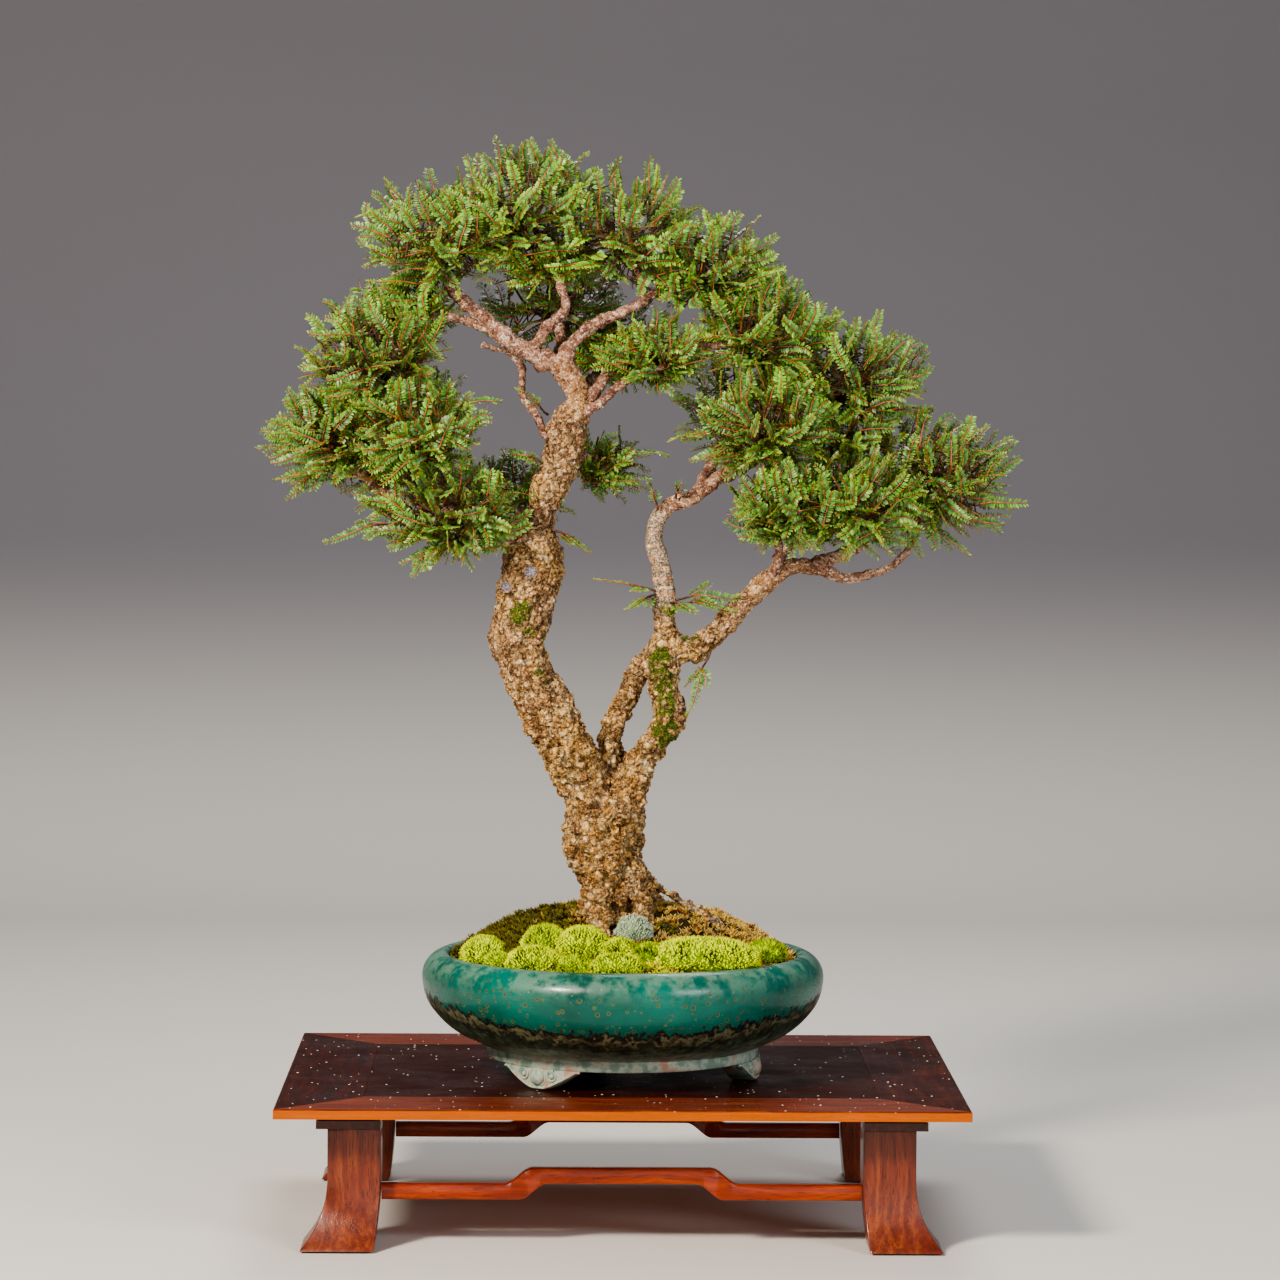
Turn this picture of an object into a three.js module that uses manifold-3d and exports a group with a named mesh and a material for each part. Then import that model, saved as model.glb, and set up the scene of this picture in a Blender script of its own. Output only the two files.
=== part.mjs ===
// A Chinese elm bonsai with tiny leaves, in a round glazed pot on a low wooden stand.
// Millimetres, +Z up, the front towards -Y. The origin lies under the middle of the whole thing,
// at the height that the stand rests on.
import * as THREE from 'three';
import { mergeVertices } from 'three/addons/utils/BufferGeometryUtils.js';
import Module from 'manifold-3d';

const wasm = await Module();
wasm.setup();

// Driving dimensions

const gap = 0.3; // clearance between pieces that touch
const cutGap = 0.4; // clearance round wood and moss that a neighbour is cut to

const stand = {
  width: 566,
  depth: 449,
  height: 121.5,
  edge: 8.2, // thickness of the top at its outer edge
  belly: 14.3, // thickness of the top where it meets the battens
  railFront: 70, // width of the front and back rails
  railSide: 70,
  panel: 9, // thickness of the panel
  batten: 6.7, // thickness of the side battens
  battenOuter: 250,
  legInset: 42,
  leg: 43.4, // section of a leg at its top
  flare: 22, // how far a foot kicks outward
  heel: 11, // how far the inner edge follows it
  glide: 1.2,
};

const humpback = { // stretcher between two legs
  thickness: 12,
  height: 12.6,
  low: 38.5, // underside of its ends above the floor
  rise: 13.2,
  humpTop: [74, 96], // half length of the hump's top edge, at its top and at its foot
  humpUnder: [62, 82],
  inset: 64, // centre line from the edge of the top
};

const pot = {
  x: 1.5,
  y: -22.5, // the pot stands a little in front of the middle
  height: 105,
  lip: 147, // inner radius at the rim
  ring: 114.7, // radius of the foot ring
  ringLow: 17, // height of the ring's underside, where the feet begin
  drain: 14,
  segments: 32,
  footTurns: [-38, 76, -161], // degrees from the front towards +X
  footHalf: 40, // half the width of a foot at the ring
  footStand: 6, // half the width that it stands on
};

const mound = {
  rim: 100, // height of the moss where it meets the pot
  rise: 41,
  steepFront: 0.9, // the mound falls early towards the front
  steepBack: 4.3,
  moss: 12, // thickness of the moss carpet with the crumb that it grows on
  carpet: 140, // radius of the moss carpet
};

// Colours and finishes

const finish = (color, roughness) => new THREE.MeshStandardMaterial({ color, roughness, metalness: 0 });
const bark = finish('#a57a48', 0.9);
const leaf = finish('#4f7a34', 0.6);
const youngLeaf = finish('#6f8f35', 0.6);
const glaze = finish('#2b6a62', 0.35);
const earth = finish('#3a2a20', 0.95);
const mossBrown = finish('#7d6a2e', 0.95);
const mossBright = finish('#9bb62a', 0.95);
const mossPale = finish('#a9bd8c', 0.95);
const rosewood = finish('#4a2418', 0.4);
const felt = finish('#b9a98c', 0.95);
const mesh = finish('#22241f', 0.7);

// Solids

// A closed geometry as a solid. Seams are closed, and faces that shrank to a line at an axis are left out.
function solid(geometry) {
  const bare = new THREE.BufferGeometry().setAttribute('position', geometry.getAttribute('position'));
  bare.setIndex(geometry.index);
  const merged = mergeVertices(bare, 1e-3);
  const corners = [];
  for (let i = 0; i < merged.index.count; i += 3) {
    const [a, b, c] = [0, 1, 2].map((k) => merged.index.getX(i + k));
    if (a !== b && b !== c && c !== a) corners.push(a, b, c);
  }
  return new wasm.Manifold(new wasm.Mesh({
    numProp: 3,
    vertProperties: merged.getAttribute('position').array,
    triVerts: new Uint32Array(corners),
  }));
}

const join = (solids) => solids.reduce((whole, next) => whole.add(next));

const largest = (whole) => whole.decompose().sort((a, b) => b.volume() - a.volume())[0];

// The largest body of a solid. What a cut leaves loose, or holds only by a hair, is dropped.
const oneBody = (whole) => largest(solid(geometryOf(largest(whole))));

// Whether every edge of a solid lies in a place of its own, which fails where two faces only graze.
function isClean(body) {
  const { vertProperties, triVerts } = body.getMesh();
  const keys = [];
  for (let i = 0; i < vertProperties.length; i += 3) {
    keys.push([0, 1, 2].map((k) => Math.round(vertProperties[i + k] * 1e3)).join());
  }
  const seen = new Set();
  for (let i = 0; i < triVerts.length; i += 3) {
    for (const [a, b] of [[0, 1], [1, 2], [2, 0]]) {
      const edge = `${keys[triVerts[i + a]]} ${keys[triVerts[i + b]]}`;
      if (seen.has(edge)) return false;
      seen.add(edge);
    }
  }
  return true;
}

function geometryOf(body) {
  const made = body.getMesh();
  const geometry = new THREE.BufferGeometry();
  geometry.setAttribute('position', new THREE.BufferAttribute(new Float32Array(made.vertProperties), 3));
  geometry.setIndex(new THREE.BufferAttribute(new Uint32Array(made.triVerts), 1));
  geometry.computeVertexNormals();
  return geometry;
}

function named(name, geometry, material) {
  const piece = new THREE.Mesh(geometry, material);
  piece.name = name;
  return piece;
}

// The same draw of numbers in every run.
function dice(seed) {
  let state = seed;
  return () => {
    state = (state * 16807) % 2147483647;
    return state / 2147483647;
  };
}

// Moves every vertex of a geometry by a rule.
function bend(geometry, rule) {
  const places = geometry.getAttribute('position');
  const place = new THREE.Vector3();
  for (let i = 0; i < places.count; i++) {
    place.fromBufferAttribute(places, i);
    rule(place);
    places.setXYZ(i, place.x, place.y, place.z);
  }
  return geometry;
}

// The wood

// A limb: a capped cylinder bent along a curve through points of x, y, z and thickness.
// Its knobs swell and pinch it as it goes, and grow makes it thicker all round.
function limb(points, { sides = 4, steps = 5, knob = 0, grow = 0 } = {}) {
  const places = points.map(([x, y, z]) => new THREE.Vector3(x, y, z));
  const path = new THREE.CatmullRomCurve3(places, false, 'centripetal');
  const girth = new THREE.CatmullRomCurve3(points.map((point) => new THREE.Vector3(point[3] / 2, 0, 0)));
  const frames = path.computeFrenetFrames(steps, false);
  const bar = new THREE.CylinderGeometry(1, 1, steps, sides, steps);
  const centre = new THREE.Vector3();
  return solid(bend(bar, (place) => {
    const step = Math.round(place.y + steps / 2);
    const along = step / steps;
    const turn = Math.atan2(place.z, place.x);
    const out = Math.hypot(place.x, place.z);
    const swell = 1 + knob * Math.sin(3 * turn + 11 * along) * Math.cos(9 * along + turn);
    const t = path.getUtoTmapping(along);
    const radius = girth.getPoint(t).x * swell + grow;
    const push = along === 0 ? -grow : along === 1 ? grow : 0;
    path.getPoint(t, centre);
    const normal = frames.normals[step];
    const binormal = frames.binormals[step];
    place.copy(centre).addScaledVector(frames.tangents[step], push);
    place.addScaledVector(normal, radius * out * Math.cos(turn));
    place.addScaledVector(binormal, -radius * out * Math.sin(turn));
  }));
}

// Every limb as points of x, y, z and thickness, seen from the pot's middle.
const thick = [
  { // the base, from its foot in the soil up to the fork
    points: [[-2, 4, 88, 70], [-3, 3, 112, 82], [-4, 0, 131, 74], [-7, -1, 152, 54], [-9, 0, 170, 52],
      [-15, 0, 190, 66], [-19, 0, 212, 64], [-15, 0, 236, 52]],
    sides: 10, steps: 8, knob: 0.07,
  },
  { // left trunk
    points: [[-22, 0, 200, 46], [-34, -2, 243, 41], [-45, -5, 270, 46], [-58, -8, 296, 47],
      [-73, -10, 322, 44], [-85, -12, 348, 43], [-91, -12, 374, 46], [-86, -10, 400, 47],
      [-78, -7, 426, 54], [-75, -4, 446, 46], [-71, 0, 465, 27], [-70, 2, 483, 26],
      [-63, 4, 504, 28], [-55, 4, 522, 33], [-49, 3, 548, 33], [-40, 2, 574, 23], [-49, 1, 593, 22],
      [-55, 0, 606, 20]],
    sides: 9, steps: 17, knob: 0.06,
  },
  { // right trunk, front stem
    points: [[-4, -4, 205, 36], [6, -6, 245, 32], [15, -10, 272, 27], [30, -12, 290, 26], [38, -12, 306, 29],
      [34, -10, 330, 27], [32, -6, 350, 33], [36, -4, 370, 28]],
    sides: 8, steps: 9, knob: 0.08,
  },
  { // right trunk, back stem, which grows into the front stem again
    points: [[-2, 10, 242, 26], [-12, 16, 274, 22], [-10, 19, 296, 19], [2, 18, 316, 18], [8, 13, 335, 16],
      [17, 6, 350, 17], [28, 0, 363, 20]],
    sides: 7, steps: 8, knob: 0.05,
  },
  { // up from the right trunk's top
    points: [[36, -4, 360, 24], [33, -4, 392, 18], [33, -3, 413, 18], [30, -2, 434, 18], [24, 0, 455, 14],
      [28, 2, 474, 15], [39, 2, 485, 13], [56, 0, 490, 13], [72, -2, 503, 11], [88, -6, 520, 9]],
    sides: 6, steps: 11, knob: 0.05,
  },
  { // out to the right
    points: [[40, -4, 364, 26], [60, -6, 363, 22], [81, -8, 382, 20], [99, -8, 402, 18], [121, -8, 421, 17],
      [138, -10, 433, 15], [163, -10, 432, 13], [184, -8, 424, 9], [206, -6, 427, 8], [228, -4, 436, 7],
      [246, -2, 462, 6], [243, -4, 498, 5]],
    sides: 6, steps: 13, knob: 0.06,
  },
];

// Roots run out over the mound and dive into it.
const roots = [
  [[-22, -10, 172, 26], [-26, -30, 146, 25], [-22, -46, 131, 22], [-16, -62, 120, 15]],
  [[-26, 2, 160, 22], [-36, -6, 142, 19], [-46, -18, 131, 12]],
  [[8, -12, 160, 24], [22, -26, 146, 24], [30, -36, 131, 17]],
  [[18, 2, 160, 18], [38, 0, 152, 13], [60, -6, 140, 10], [80, -14, 128, 7]],
  [[10, 20, 160, 24], [32, 40, 145, 17], [50, 62, 136, 10]],
  [[-18, 20, 160, 24], [-40, 44, 144, 18], [-58, 70, 134, 10]],
];

const thin = [
  // left side
  [[-78, -8, 446, 22], [-107, -14, 456, 16], [-141, -22, 454, 13], [-168, -24, 466, 11], [-190, -20, 482, 9],
    [-222, -12, 507, 8], [-254, -4, 535, 5]],
  [[-136, -20, 452, 9], [-150, -30, 474, 8], [-152, -36, 482, 5]],
  [[-140, -20, 456, 9], [-154, -26, 500, 8], [-162, -32, 530, 6], [-180, -38, 550, 5]],
  [[-164, -22, 464, 9], [-188, -22, 515, 7], [-203, -24, 560, 6], [-214, -28, 598, 5]],
  // under the crown
  [[-66, 0, 540, 12], [-70, 8, 552, 8], [-84, 16, 572, 7], [-90, 22, 592, 6], [-98, 28, 612, 6],
    [-122, 34, 618, 4]],
  [[-55, 0, 600, 20], [-82, -4, 612, 16], [-117, -6, 638, 13], [-142, -4, 660, 10], [-156, 0, 682, 8],
    [-162, 4, 706, 5]],
  [[-112, -6, 632, 9], [-150, 12, 642, 7], [-184, 26, 642, 5]],
  [[-84, -4, 610, 11], [-62, -4, 638, 9], [-52, -2, 654, 8], [-66, 0, 690, 6], [-84, 4, 716, 5]],
  [[-54, 0, 600, 17], [-48, 0, 619, 11], [-26, 0, 636, 10], [-1, 0, 648, 9], [22, 2, 662, 8], [38, 4, 676, 7],
    [62, 6, 690, 5]],
  [[16, 2, 656, 8], [8, 6, 682, 6], [0, 10, 704, 5]],
  [[-46, 2, 560, 14], [-24, 0, 582, 10], [-9, -4, 606, 10], [27, -8, 615, 9], [56, -10, 619, 8],
    [84, -14, 623, 7], [112, -16, 636, 5]],
  [[-44, 2, 556, 12], [-24, -6, 569, 8], [-6, -12, 585, 7], [13, -16, 595, 6], [38, -18, 605, 4]],
  // right side
  [[84, -6, 514, 9], [100, -24, 532, 7], [114, -38, 552, 5]],
  [[70, -2, 500, 10], [118, 2, 528, 8], [162, 8, 568, 7], [190, 12, 594, 5]],
  [[160, -10, 434, 12], [182, -14, 444, 11], [200, -22, 456, 9], [198, -34, 480, 6], [194, -40, 492, 5]],
  [[116, -8, 418, 10], [129, -22, 436, 8], [127, -38, 458, 7], [132, -58, 486, 5]],
  // back side
  [[-50, 6, 604, 12], [-58, 34, 634, 9], [-62, 66, 662, 6]],
  [[-126, -18, 455, 11], [-150, 22, 496, 8], [-184, 68, 555, 5]],
  [[-70, 4, 468, 13], [-86, 36, 476, 9], [-104, 72, 486, 6]],
  [[-44, 8, 562, 13], [-32, 44, 584, 9], [-14, 78, 607, 6]],
  [[56, 4, 490, 10], [80, 42, 530, 8], [104, 82, 570, 5]],
  [[119, -2, 420, 10], [140, 36, 448, 8], [164, 74, 484, 5]],
  [[-52, 8, 526, 11], [-36, 24, 524, 8], [-20, 40, 522, 5]],
];

// Two healed cuts stand out of the left trunk where it is widest.
const scars = [
  [[-72, -14, 424, 22], [-68, -33, 424, 20]],
  [[-86, -14, 404, 20], [-92, -33, 404, 17]],
];

const wood = (grow) => join([
  ...thick.map(({ points, ...shape }) => limb(points, { ...shape, grow })),
  ...roots.map((points) => limb(points, { sides: 5, steps: 4, knob: 0.08, grow })),
  ...thin.map((points) => limb(points, { sides: points[0][3] < 13 ? 3 : 4, steps: points.length - 1, grow })),
  ...scars.map((points) => limb(points, { sides: 7, steps: 1, grow })),
]);

const tree = oneBody(wood(0));
const clearOfTree = wood(cutGap);
const clearOfBase = limb(thick[0].points, { ...thick[0], grow: cutGap });

// The foliage

// A fan of leafy shoots in one thin arched blade. Each shoot is cut to its rib behind a leaflet on
// either side, one ahead of the other, and ends in a pointed one. The blade is a sheet over the plane
// of its length and width, with the same triangles on both faces.
const blade = {
  thickness: 0.9,
  rib: 2.6, // half width of a shoot where its leaflets are cut away
  cut: 0.11, // how far the cut runs back beside a leaflet, as a share of the length
  shoots: 3,
  step: 24, // degrees between two shoots
  flank: 0.35, // how far the blade goes on beside its outer shoots, in steps
  palm: 0.34, // share of the length where the shoots part
};

function fan(base, middle, face, reachOf, { width, arch }) {
  const { shoots } = blade;
  const along = middle.clone().normalize();
  const up = face.clone().addScaledVector(along, -face.dot(along)).normalize();
  const across = new THREE.Vector3().crossVectors(up, along);
  const places = [];
  const put = (angle, far, aside) => {
    const s = far * Math.cos(angle) - aside * Math.sin(angle);
    const w = far * Math.sin(angle) + aside * Math.cos(angle);
    return places.push([s, w]) - 1;
  };
  const step = blade.step * Math.PI / 180;
  const turns = Array.from({ length: shoots }, (_, i) => (i - (shoots - 1) / 2) * step);
  const lengths = turns.map((turn) => (
    reachOf(along.clone().multiplyScalar(Math.cos(turn)).addScaledVector(across, Math.sin(turn)))));
  const root = put(0, 0, 0);
  const parts = [-1, ...turns.keys()].map((i) => {
    const near = (lengths[Math.max(i, 0)] + lengths[Math.min(i + 1, shoots - 1)]) / 2;
    const limit = (shoots - 1) / 2 + blade.flank;
    const turn = THREE.MathUtils.clamp(i - shoots / 2 + 1, -limit, limit) * step;
    return put(turn, near * blade.palm, 0);
  });
  const sheet = [];
  const outline = [root];
  turns.forEach((turn, i) => {
    const long = lengths[i];
    const [right, left] = [[-1, 0.66], [1, 0.82]].map(([side, far]) => ({
      barb: put(turn, long * far, side * width / 2),
      notch: put(turn, long * (far - blade.cut), side * blade.rib),
    }));
    const tip = put(turn, long, 0);
    const [from, to] = [parts[i], parts[i + 1]];
    sheet.push([root, from, to], [from, right.notch, left.notch], [from, left.notch, to]);
    sheet.push([from, right.barb, right.notch], [to, left.notch, left.barb]);
    sheet.push([right.notch, tip, left.notch]);
    outline.push(from, right.barb, right.notch, tip, left.notch, left.barb);
  });
  outline.push(parts[shoots]);
  const count = places.length;
  const corners = sheet.flatMap(([a, b, c]) => [a, b, c, c + count, b + count, a + count]);
  outline.forEach((a, i) => {
    const b = outline[(i + 1) % outline.length];
    corners.push(a, a + count, b, b, a + count, b + count);
  });
  const vertices = [1, -1].flatMap((side) => places.flatMap(([s, w]) => {
    const lift = arch * (s * s + w * w) / lengths[0] + side * blade.thickness / 2;
    const place = base.clone().addScaledVector(along, s).addScaledVector(across, w);
    return place.addScaledVector(up, lift).toArray();
  }));
  const geometry = new THREE.BufferGeometry();
  geometry.setAttribute('position', new THREE.Float32BufferAttribute(vertices, 3));
  geometry.setIndex(corners);
  return solid(geometry);
}

// The pads: middle, half sizes out to the tips, and the way that they grow.
const pads = {
  apex_left: { at: [-160, 2, 712], size: [72, 62, 60], grow: [-0.45, 0, 0.85] },
  apex_mid: { at: [-88, 2, 740], size: [68, 64, 66], grow: [-0.05, 0, 1] },
  apex_right: { at: [-2, 4, 718], size: [72, 64, 64], grow: [0.2, 0, 1] },
  apex_far_right: { at: [76, 4, 686], size: [62, 58, 56], grow: [0.45, 0, 0.85] },
  upper_left: { at: [-190, 34, 648], size: [54, 48, 42], grow: [-0.7, 0.4, 0.6] },
  left_top: { at: [-214, -26, 612], size: [66, 54, 60], grow: [-0.45, -0.1, 0.85] },
  left_outer: { at: [-252, -4, 548], size: [56, 52, 54], grow: [-0.8, 0, 0.5] },
  left_mid: { at: [-180, -40, 550], size: [60, 52, 52], grow: [-0.3, -0.3, 0.85] },
  left_low: { at: [-150, -40, 482], size: [72, 56, 50], grow: [-0.35, -0.75, 0.3] },
  mid_right: { at: [116, -12, 636], size: [62, 56, 54], grow: [0.3, -0.1, 0.9] },
  right_top: { at: [194, 10, 598], size: [70, 60, 56], grow: [0.45, 0, 0.85] },
  right_mid: { at: [118, -38, 558], size: [66, 54, 56], grow: [0, -0.35, 0.9] },
  right_outer: { at: [270, -4, 516], size: [68, 56, 62], grow: [0.75, 0, 0.55] },
  right_low: { at: [194, -34, 496], size: [70, 54, 50], grow: [0.3, -0.3, 0.85] },
  right_low_left: { at: [132, -52, 490], size: [50, 46, 44], grow: [-0.2, -0.5, 0.7] },
  centre_high: { at: [26, -4, 618], size: [52, 46, 38], grow: [0.1, -0.2, 0.9] },
  centre_low: { at: [-16, 44, 521], size: [42, 38, 34], grow: [0.6, 0.3, 0.6] },
  back_top: { at: [-62, 80, 660], size: [72, 58, 58], grow: [0, 0.6, 0.8] },
  back_left: { at: [-196, 84, 574], size: [60, 54, 54], grow: [-0.4, 0.55, 0.7] },
  back_low_left: { at: [-106, 78, 492], size: [62, 54, 48], grow: [-0.4, 0.7, 0.4] },
  back_mid: { at: [-14, 96, 622], size: [56, 54, 44], grow: [0, 0.7, 0.7] },
  back_right: { at: [108, 86, 574], size: [70, 58, 56], grow: [0.3, 0.6, 0.75] },
  back_low_right: { at: [168, 78, 494], size: [64, 54, 48], grow: [0.5, 0.65, 0.4] },
};

// Nothing of a pad is shared with its neighbours: flat cuts between them leave a gap.
function halfSpace(point, normal) {
  const size = 600;
  const block = new THREE.BoxGeometry(size, size, size).translate(0, 0, size / 2);
  const turn = new THREE.Quaternion().setFromUnitVectors(new THREE.Vector3(0, 0, 1), normal);
  block.applyQuaternion(turn).translate(point.x, point.y, point.z);
  return solid(block);
}

const halfReach = (pad, way) => Math.hypot(way.x * pad.size[0], way.y * pad.size[1], way.z * pad.size[2]);

// The flat walls between a pad and its neighbours, as a place and the way out of the pad.
function wallsOf(name) {
  const middle = new THREE.Vector3(...pads[name].at);
  const walls = [];
  for (const [other, next] of Object.entries(pads)) {
    if (other === name) continue;
    const way = new THREE.Vector3(...next.at).sub(middle);
    const distance = way.length();
    way.normalize();
    const mine = halfReach(pads[name], way);
    const theirs = halfReach(next, way);
    if (distance > (mine + theirs) * 1.15) continue;
    const place = middle.clone().addScaledVector(way, distance * mine / (mine + theirs) - gap / 2);
    walls.push({ place, way, block: halfSpace(place, way) });
  }
  return walls;
}

// A pad: fans of shoots that open like a cup from a small woody core, out to the pad's round form.
const fans = 4;

function foliage(name) {
  const pad = pads[name];
  const middle = new THREE.Vector3(...pad.at);
  const size = new THREE.Vector3(...pad.size);
  const grow = new THREE.Vector3(...pad.grow).normalize();
  const draw = dice(7919 + 104729 * Object.keys(pads).indexOf(name));
  const walls = wallsOf(name);
  const low = grow.clone().multiplyScalar(-0.5); // where the fans start, in shares of the size
  const base = low.clone().multiply(size).add(middle);
  const core = solid(bend(new THREE.OctahedronGeometry(1, 0), (place) => {
    place.multiplyScalar(0.24).multiply(size).addScaledVector(grow, 3).add(base);
  }));
  // How far a shoot runs from the base: to the pad's outside, or to just short of a wall.
  const reachOf = (way) => {
    const run = way.clone().divide(size);
    const [a, b, c] = [run.dot(run), low.dot(run), low.dot(low) - 1];
    const out = (Math.sqrt(b * b - a * c) - b) / a * (0.93 + 0.14 * draw());
    const free = walls.map((wall) => {
      const slope = way.dot(wall.way);
      return slope > 0.05 ? wall.place.clone().sub(base).dot(wall.way) / slope - 5 : Infinity;
    });
    return Math.max(Math.min(out, ...free), 24);
  };
  const side = new THREE.Vector3(0, 1, 0).cross(grow).normalize();
  const walled = (whole) => walls.reduce((left, wall) => left.subtract(wall.block), whole);
  const trim = (whole) => oneBody(walled(whole).subtract(clearOfTree));
  let whole = core;
  let bunch = trim(core);
  const first = 2 * Math.PI * draw();
  for (let k = 0; k < fans; k++) {
    const turn = first + k * 2 * Math.PI / fans + 0.3 * (draw() - 0.5);
    const outward = side.clone().applyAxisAngle(grow, turn);
    const lean = k % 2 ? 58 : 24; // degrees, every second fan opens wider
    const way = grow.clone().applyAxisAngle(outward.clone().cross(grow), -lean * Math.PI / 180);
    const start = base.clone().addScaledVector(outward, 5);
    const shape = { width: 15 + 3 * draw(), arch: 0.12 + 0.08 * draw() };
    const fuller = whole.add(fan(start, way, outward, reachOf, shape));
    const trimmed = trim(fuller);
    if (!isClean(trimmed)) continue;
    whole = fuller;
    bunch = trimmed;
  }
  return bunch;
}

// The ground

// Height of the moss surface over a place of the pot.
function moundHeight(x, y) {
  const reach = Math.hypot(x, y);
  const front = reach > 0 ? -y / reach : 0;
  const middle = (mound.steepFront + mound.steepBack) / 2;
  const steep = middle - front * (mound.steepBack - mound.steepFront) / 2;
  return mound.rim + mound.rise * (1 - Math.min(1, reach / pot.lip) ** steep);
}

// A body of revolution whose vertices above a height then follow a surface.
function heap(profile, segments, above, surface) {
  const turned = new THREE.LatheGeometry(profile.map(([r, z]) => new THREE.Vector2(r, z)), segments);
  turned.rotateX(Math.PI / 2);
  return solid(bend(turned, (place) => {
    if (place.z > above) place.z = surface(place.x, place.y);
  }));
}

const cavity = [[118, 35.5], [158.8, 79], [147.6, 100.5]]; // the pot's inner wall, upward

function soilBody(grow) {
  const top = 200;
  const clear = 0.5;
  const wall = cavity.map(([r, z]) => [r - clear, z + clear]);
  const profile = [[0, 35.4], ...wall.slice(0, -1), [149, 90], [149, top], [100, top], [55, top], [0, top]];
  const rimHeight = 91;
  return heap(profile, pot.segments, 150, (x, y) => (
    Math.max(rimHeight, moundHeight(x, y) - mound.moss) + grow));
}

function carpetBody(grow) {
  const top = 200;
  const profile = [[0, 80], [mound.carpet, 80], [mound.carpet + grow, top], [112, top], [70, top], [0, top]];
  return heap(profile, 20, 150, (x, y) => {
    const lump = 2.2 * Math.sin(x / 13 + 1) * Math.cos(y / 11) + 1.2 * Math.sin(x / 6.1 - y / 7.3);
    const edge = Math.hypot(x, y) > mound.carpet - 1 ? -2.5 : lump;
    return moundHeight(x, y) + edge + grow;
  });
}

// The plain hole that the foot of the tree stands in.
const soil = oneBody(soilBody(0).subtract(clearOfBase));
const carpet = oneBody(carpetBody(0).subtract(soilBody(cutGap)).subtract(clearOfTree));

// Cushions of moss: middle, half sizes along and across the rim, height and material.
const cushions = {
  cushion_left: { at: [-117, -60], size: [16, 20, 12], colour: mossBright },
  cushion_left_front: { at: [-104, -88], size: [9, 13, 7], colour: mossBright },
  cushion_left_big: { at: [-66, -70], size: [17, 15, 13], colour: mossBright },
  cushion_front_left: { at: [-34, -84], size: [20, 17, 15], colour: mossBright },
  cushion_front_wide: { at: [-75, -106], size: [21, 14, 12], colour: mossBright },
  cushion_front: { at: [-4, -94], size: [13, 13, 10], colour: mossBright },
  cushion_pale: { at: [8, -56], size: [14, 11, 13], colour: mossPale },
  cushion_front_low: { at: [-6, -125], size: [20, 12, 9], colour: mossBright },
  cushion_front_small: { at: [-41, -122], size: [13, 10, 8], colour: mossBright },
  cushion_middle: { at: [20, -100], size: [13, 12, 9], colour: mossBright },
  cushion_right_long: { at: [64, -98], size: [44, 23, 14], colour: mossBright },
  cushion_right: { at: [119, -54], size: [15, 18, 10], colour: mossBright },
};

function cushionBody({ at: [x, y], size: [width, depth, height] }, grow) {
  const turn = Math.abs(x) > 90 ? Math.atan2(y, x) : 0; // those at the sides lie along the rim
  const dome = bend(new THREE.IcosahedronGeometry(1, 1), (place) => {
    const lump = 1 + 0.07 * Math.sin(5 * place.x + x) * Math.cos(4 * place.y + y);
    place.multiplyScalar(lump);
    place.set(place.x * (width + grow), place.y * (depth + grow), place.z * (height + grow));
  });
  return solid(dome.rotateZ(turn).translate(x, y, moundHeight(x, y) + 1));
}

const ground = carpetBody(cutGap).add(soilBody(cutGap)).add(clearOfTree);
const laid = [];
for (const [name, cushion] of Object.entries(cushions)) {
  let body = cushionBody(cushion, 0).subtract(ground);
  for (const before of laid) body = body.subtract(cushionBody(before.cushion, cutGap));
  laid.push({ name, cushion, body: oneBody(body) });
}

// The pot

function potBody() {
  const outside = [[pot.ring - 11, 22], [pot.ring - 11, pot.ringLow], [pot.ring, pot.ringLow],
    [pot.ring + 0.6, 26.5], [140, 37.9], [159, 54.5], [168, 70], [170.3, 84], [165, 97.5], [155, pot.height]];
  const inside = [...cavity.toReversed(), [pot.drain, 33.5], [pot.drain, 22]];
  const profile = [...outside, ...inside, outside[0]].map(([r, z]) => new THREE.Vector2(r, z));
  const bowl = solid(new THREE.LatheGeometry(profile, pot.segments).rotateX(Math.PI / 2));
  return join([bowl, ...pot.footTurns.map(scrollFoot)]);
}

// A foot like a curling cloud: wide under the ring, narrow where it stands, with a boss and two small curls.
// Its face is cut round, a little outside the ring.
function scrollFoot(degrees) {
  const face = pot.ring + 1.5;
  const depth = 21;
  const slope = pot.footHalf - pot.footStand;
  const under = [pot.footStand, 12, 20, 30, pot.footHalf].map((u) => (
    [u, pot.ringLow * ((u - pot.footStand) / slope) ** 1.25]));
  const outline = [...under, [pot.footHalf, pot.ringLow + 3], [-pot.footHalf, pot.ringLow + 3],
    ...under.toReversed().map(([u, z]) => [-u, z])];
  const shape = new THREE.Shape(outline.map(([u, z]) => new THREE.Vector2(u, z)));
  const block = new THREE.ExtrudeGeometry(shape, { depth: 2 * depth, bevelEnabled: false });
  const round = new THREE.CylinderGeometry(face, face, 4 * pot.ringLow, 60).rotateX(Math.PI / 2);
  const body = solid(block.rotateX(Math.PI / 2).translate(0, depth - face, 0)).intersect(solid(round));
  const knobs = [[0, 10.5, 7.2], [-14, 11.8, 3.4], [14, 11.8, 3.4]].map(([x, z, radius]) => (
    solid(new THREE.CylinderGeometry(radius, radius, 8, 7).translate(x, -face, z))));
  return join([body, ...knobs]).rotate([0, 0, degrees]);
}

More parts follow.
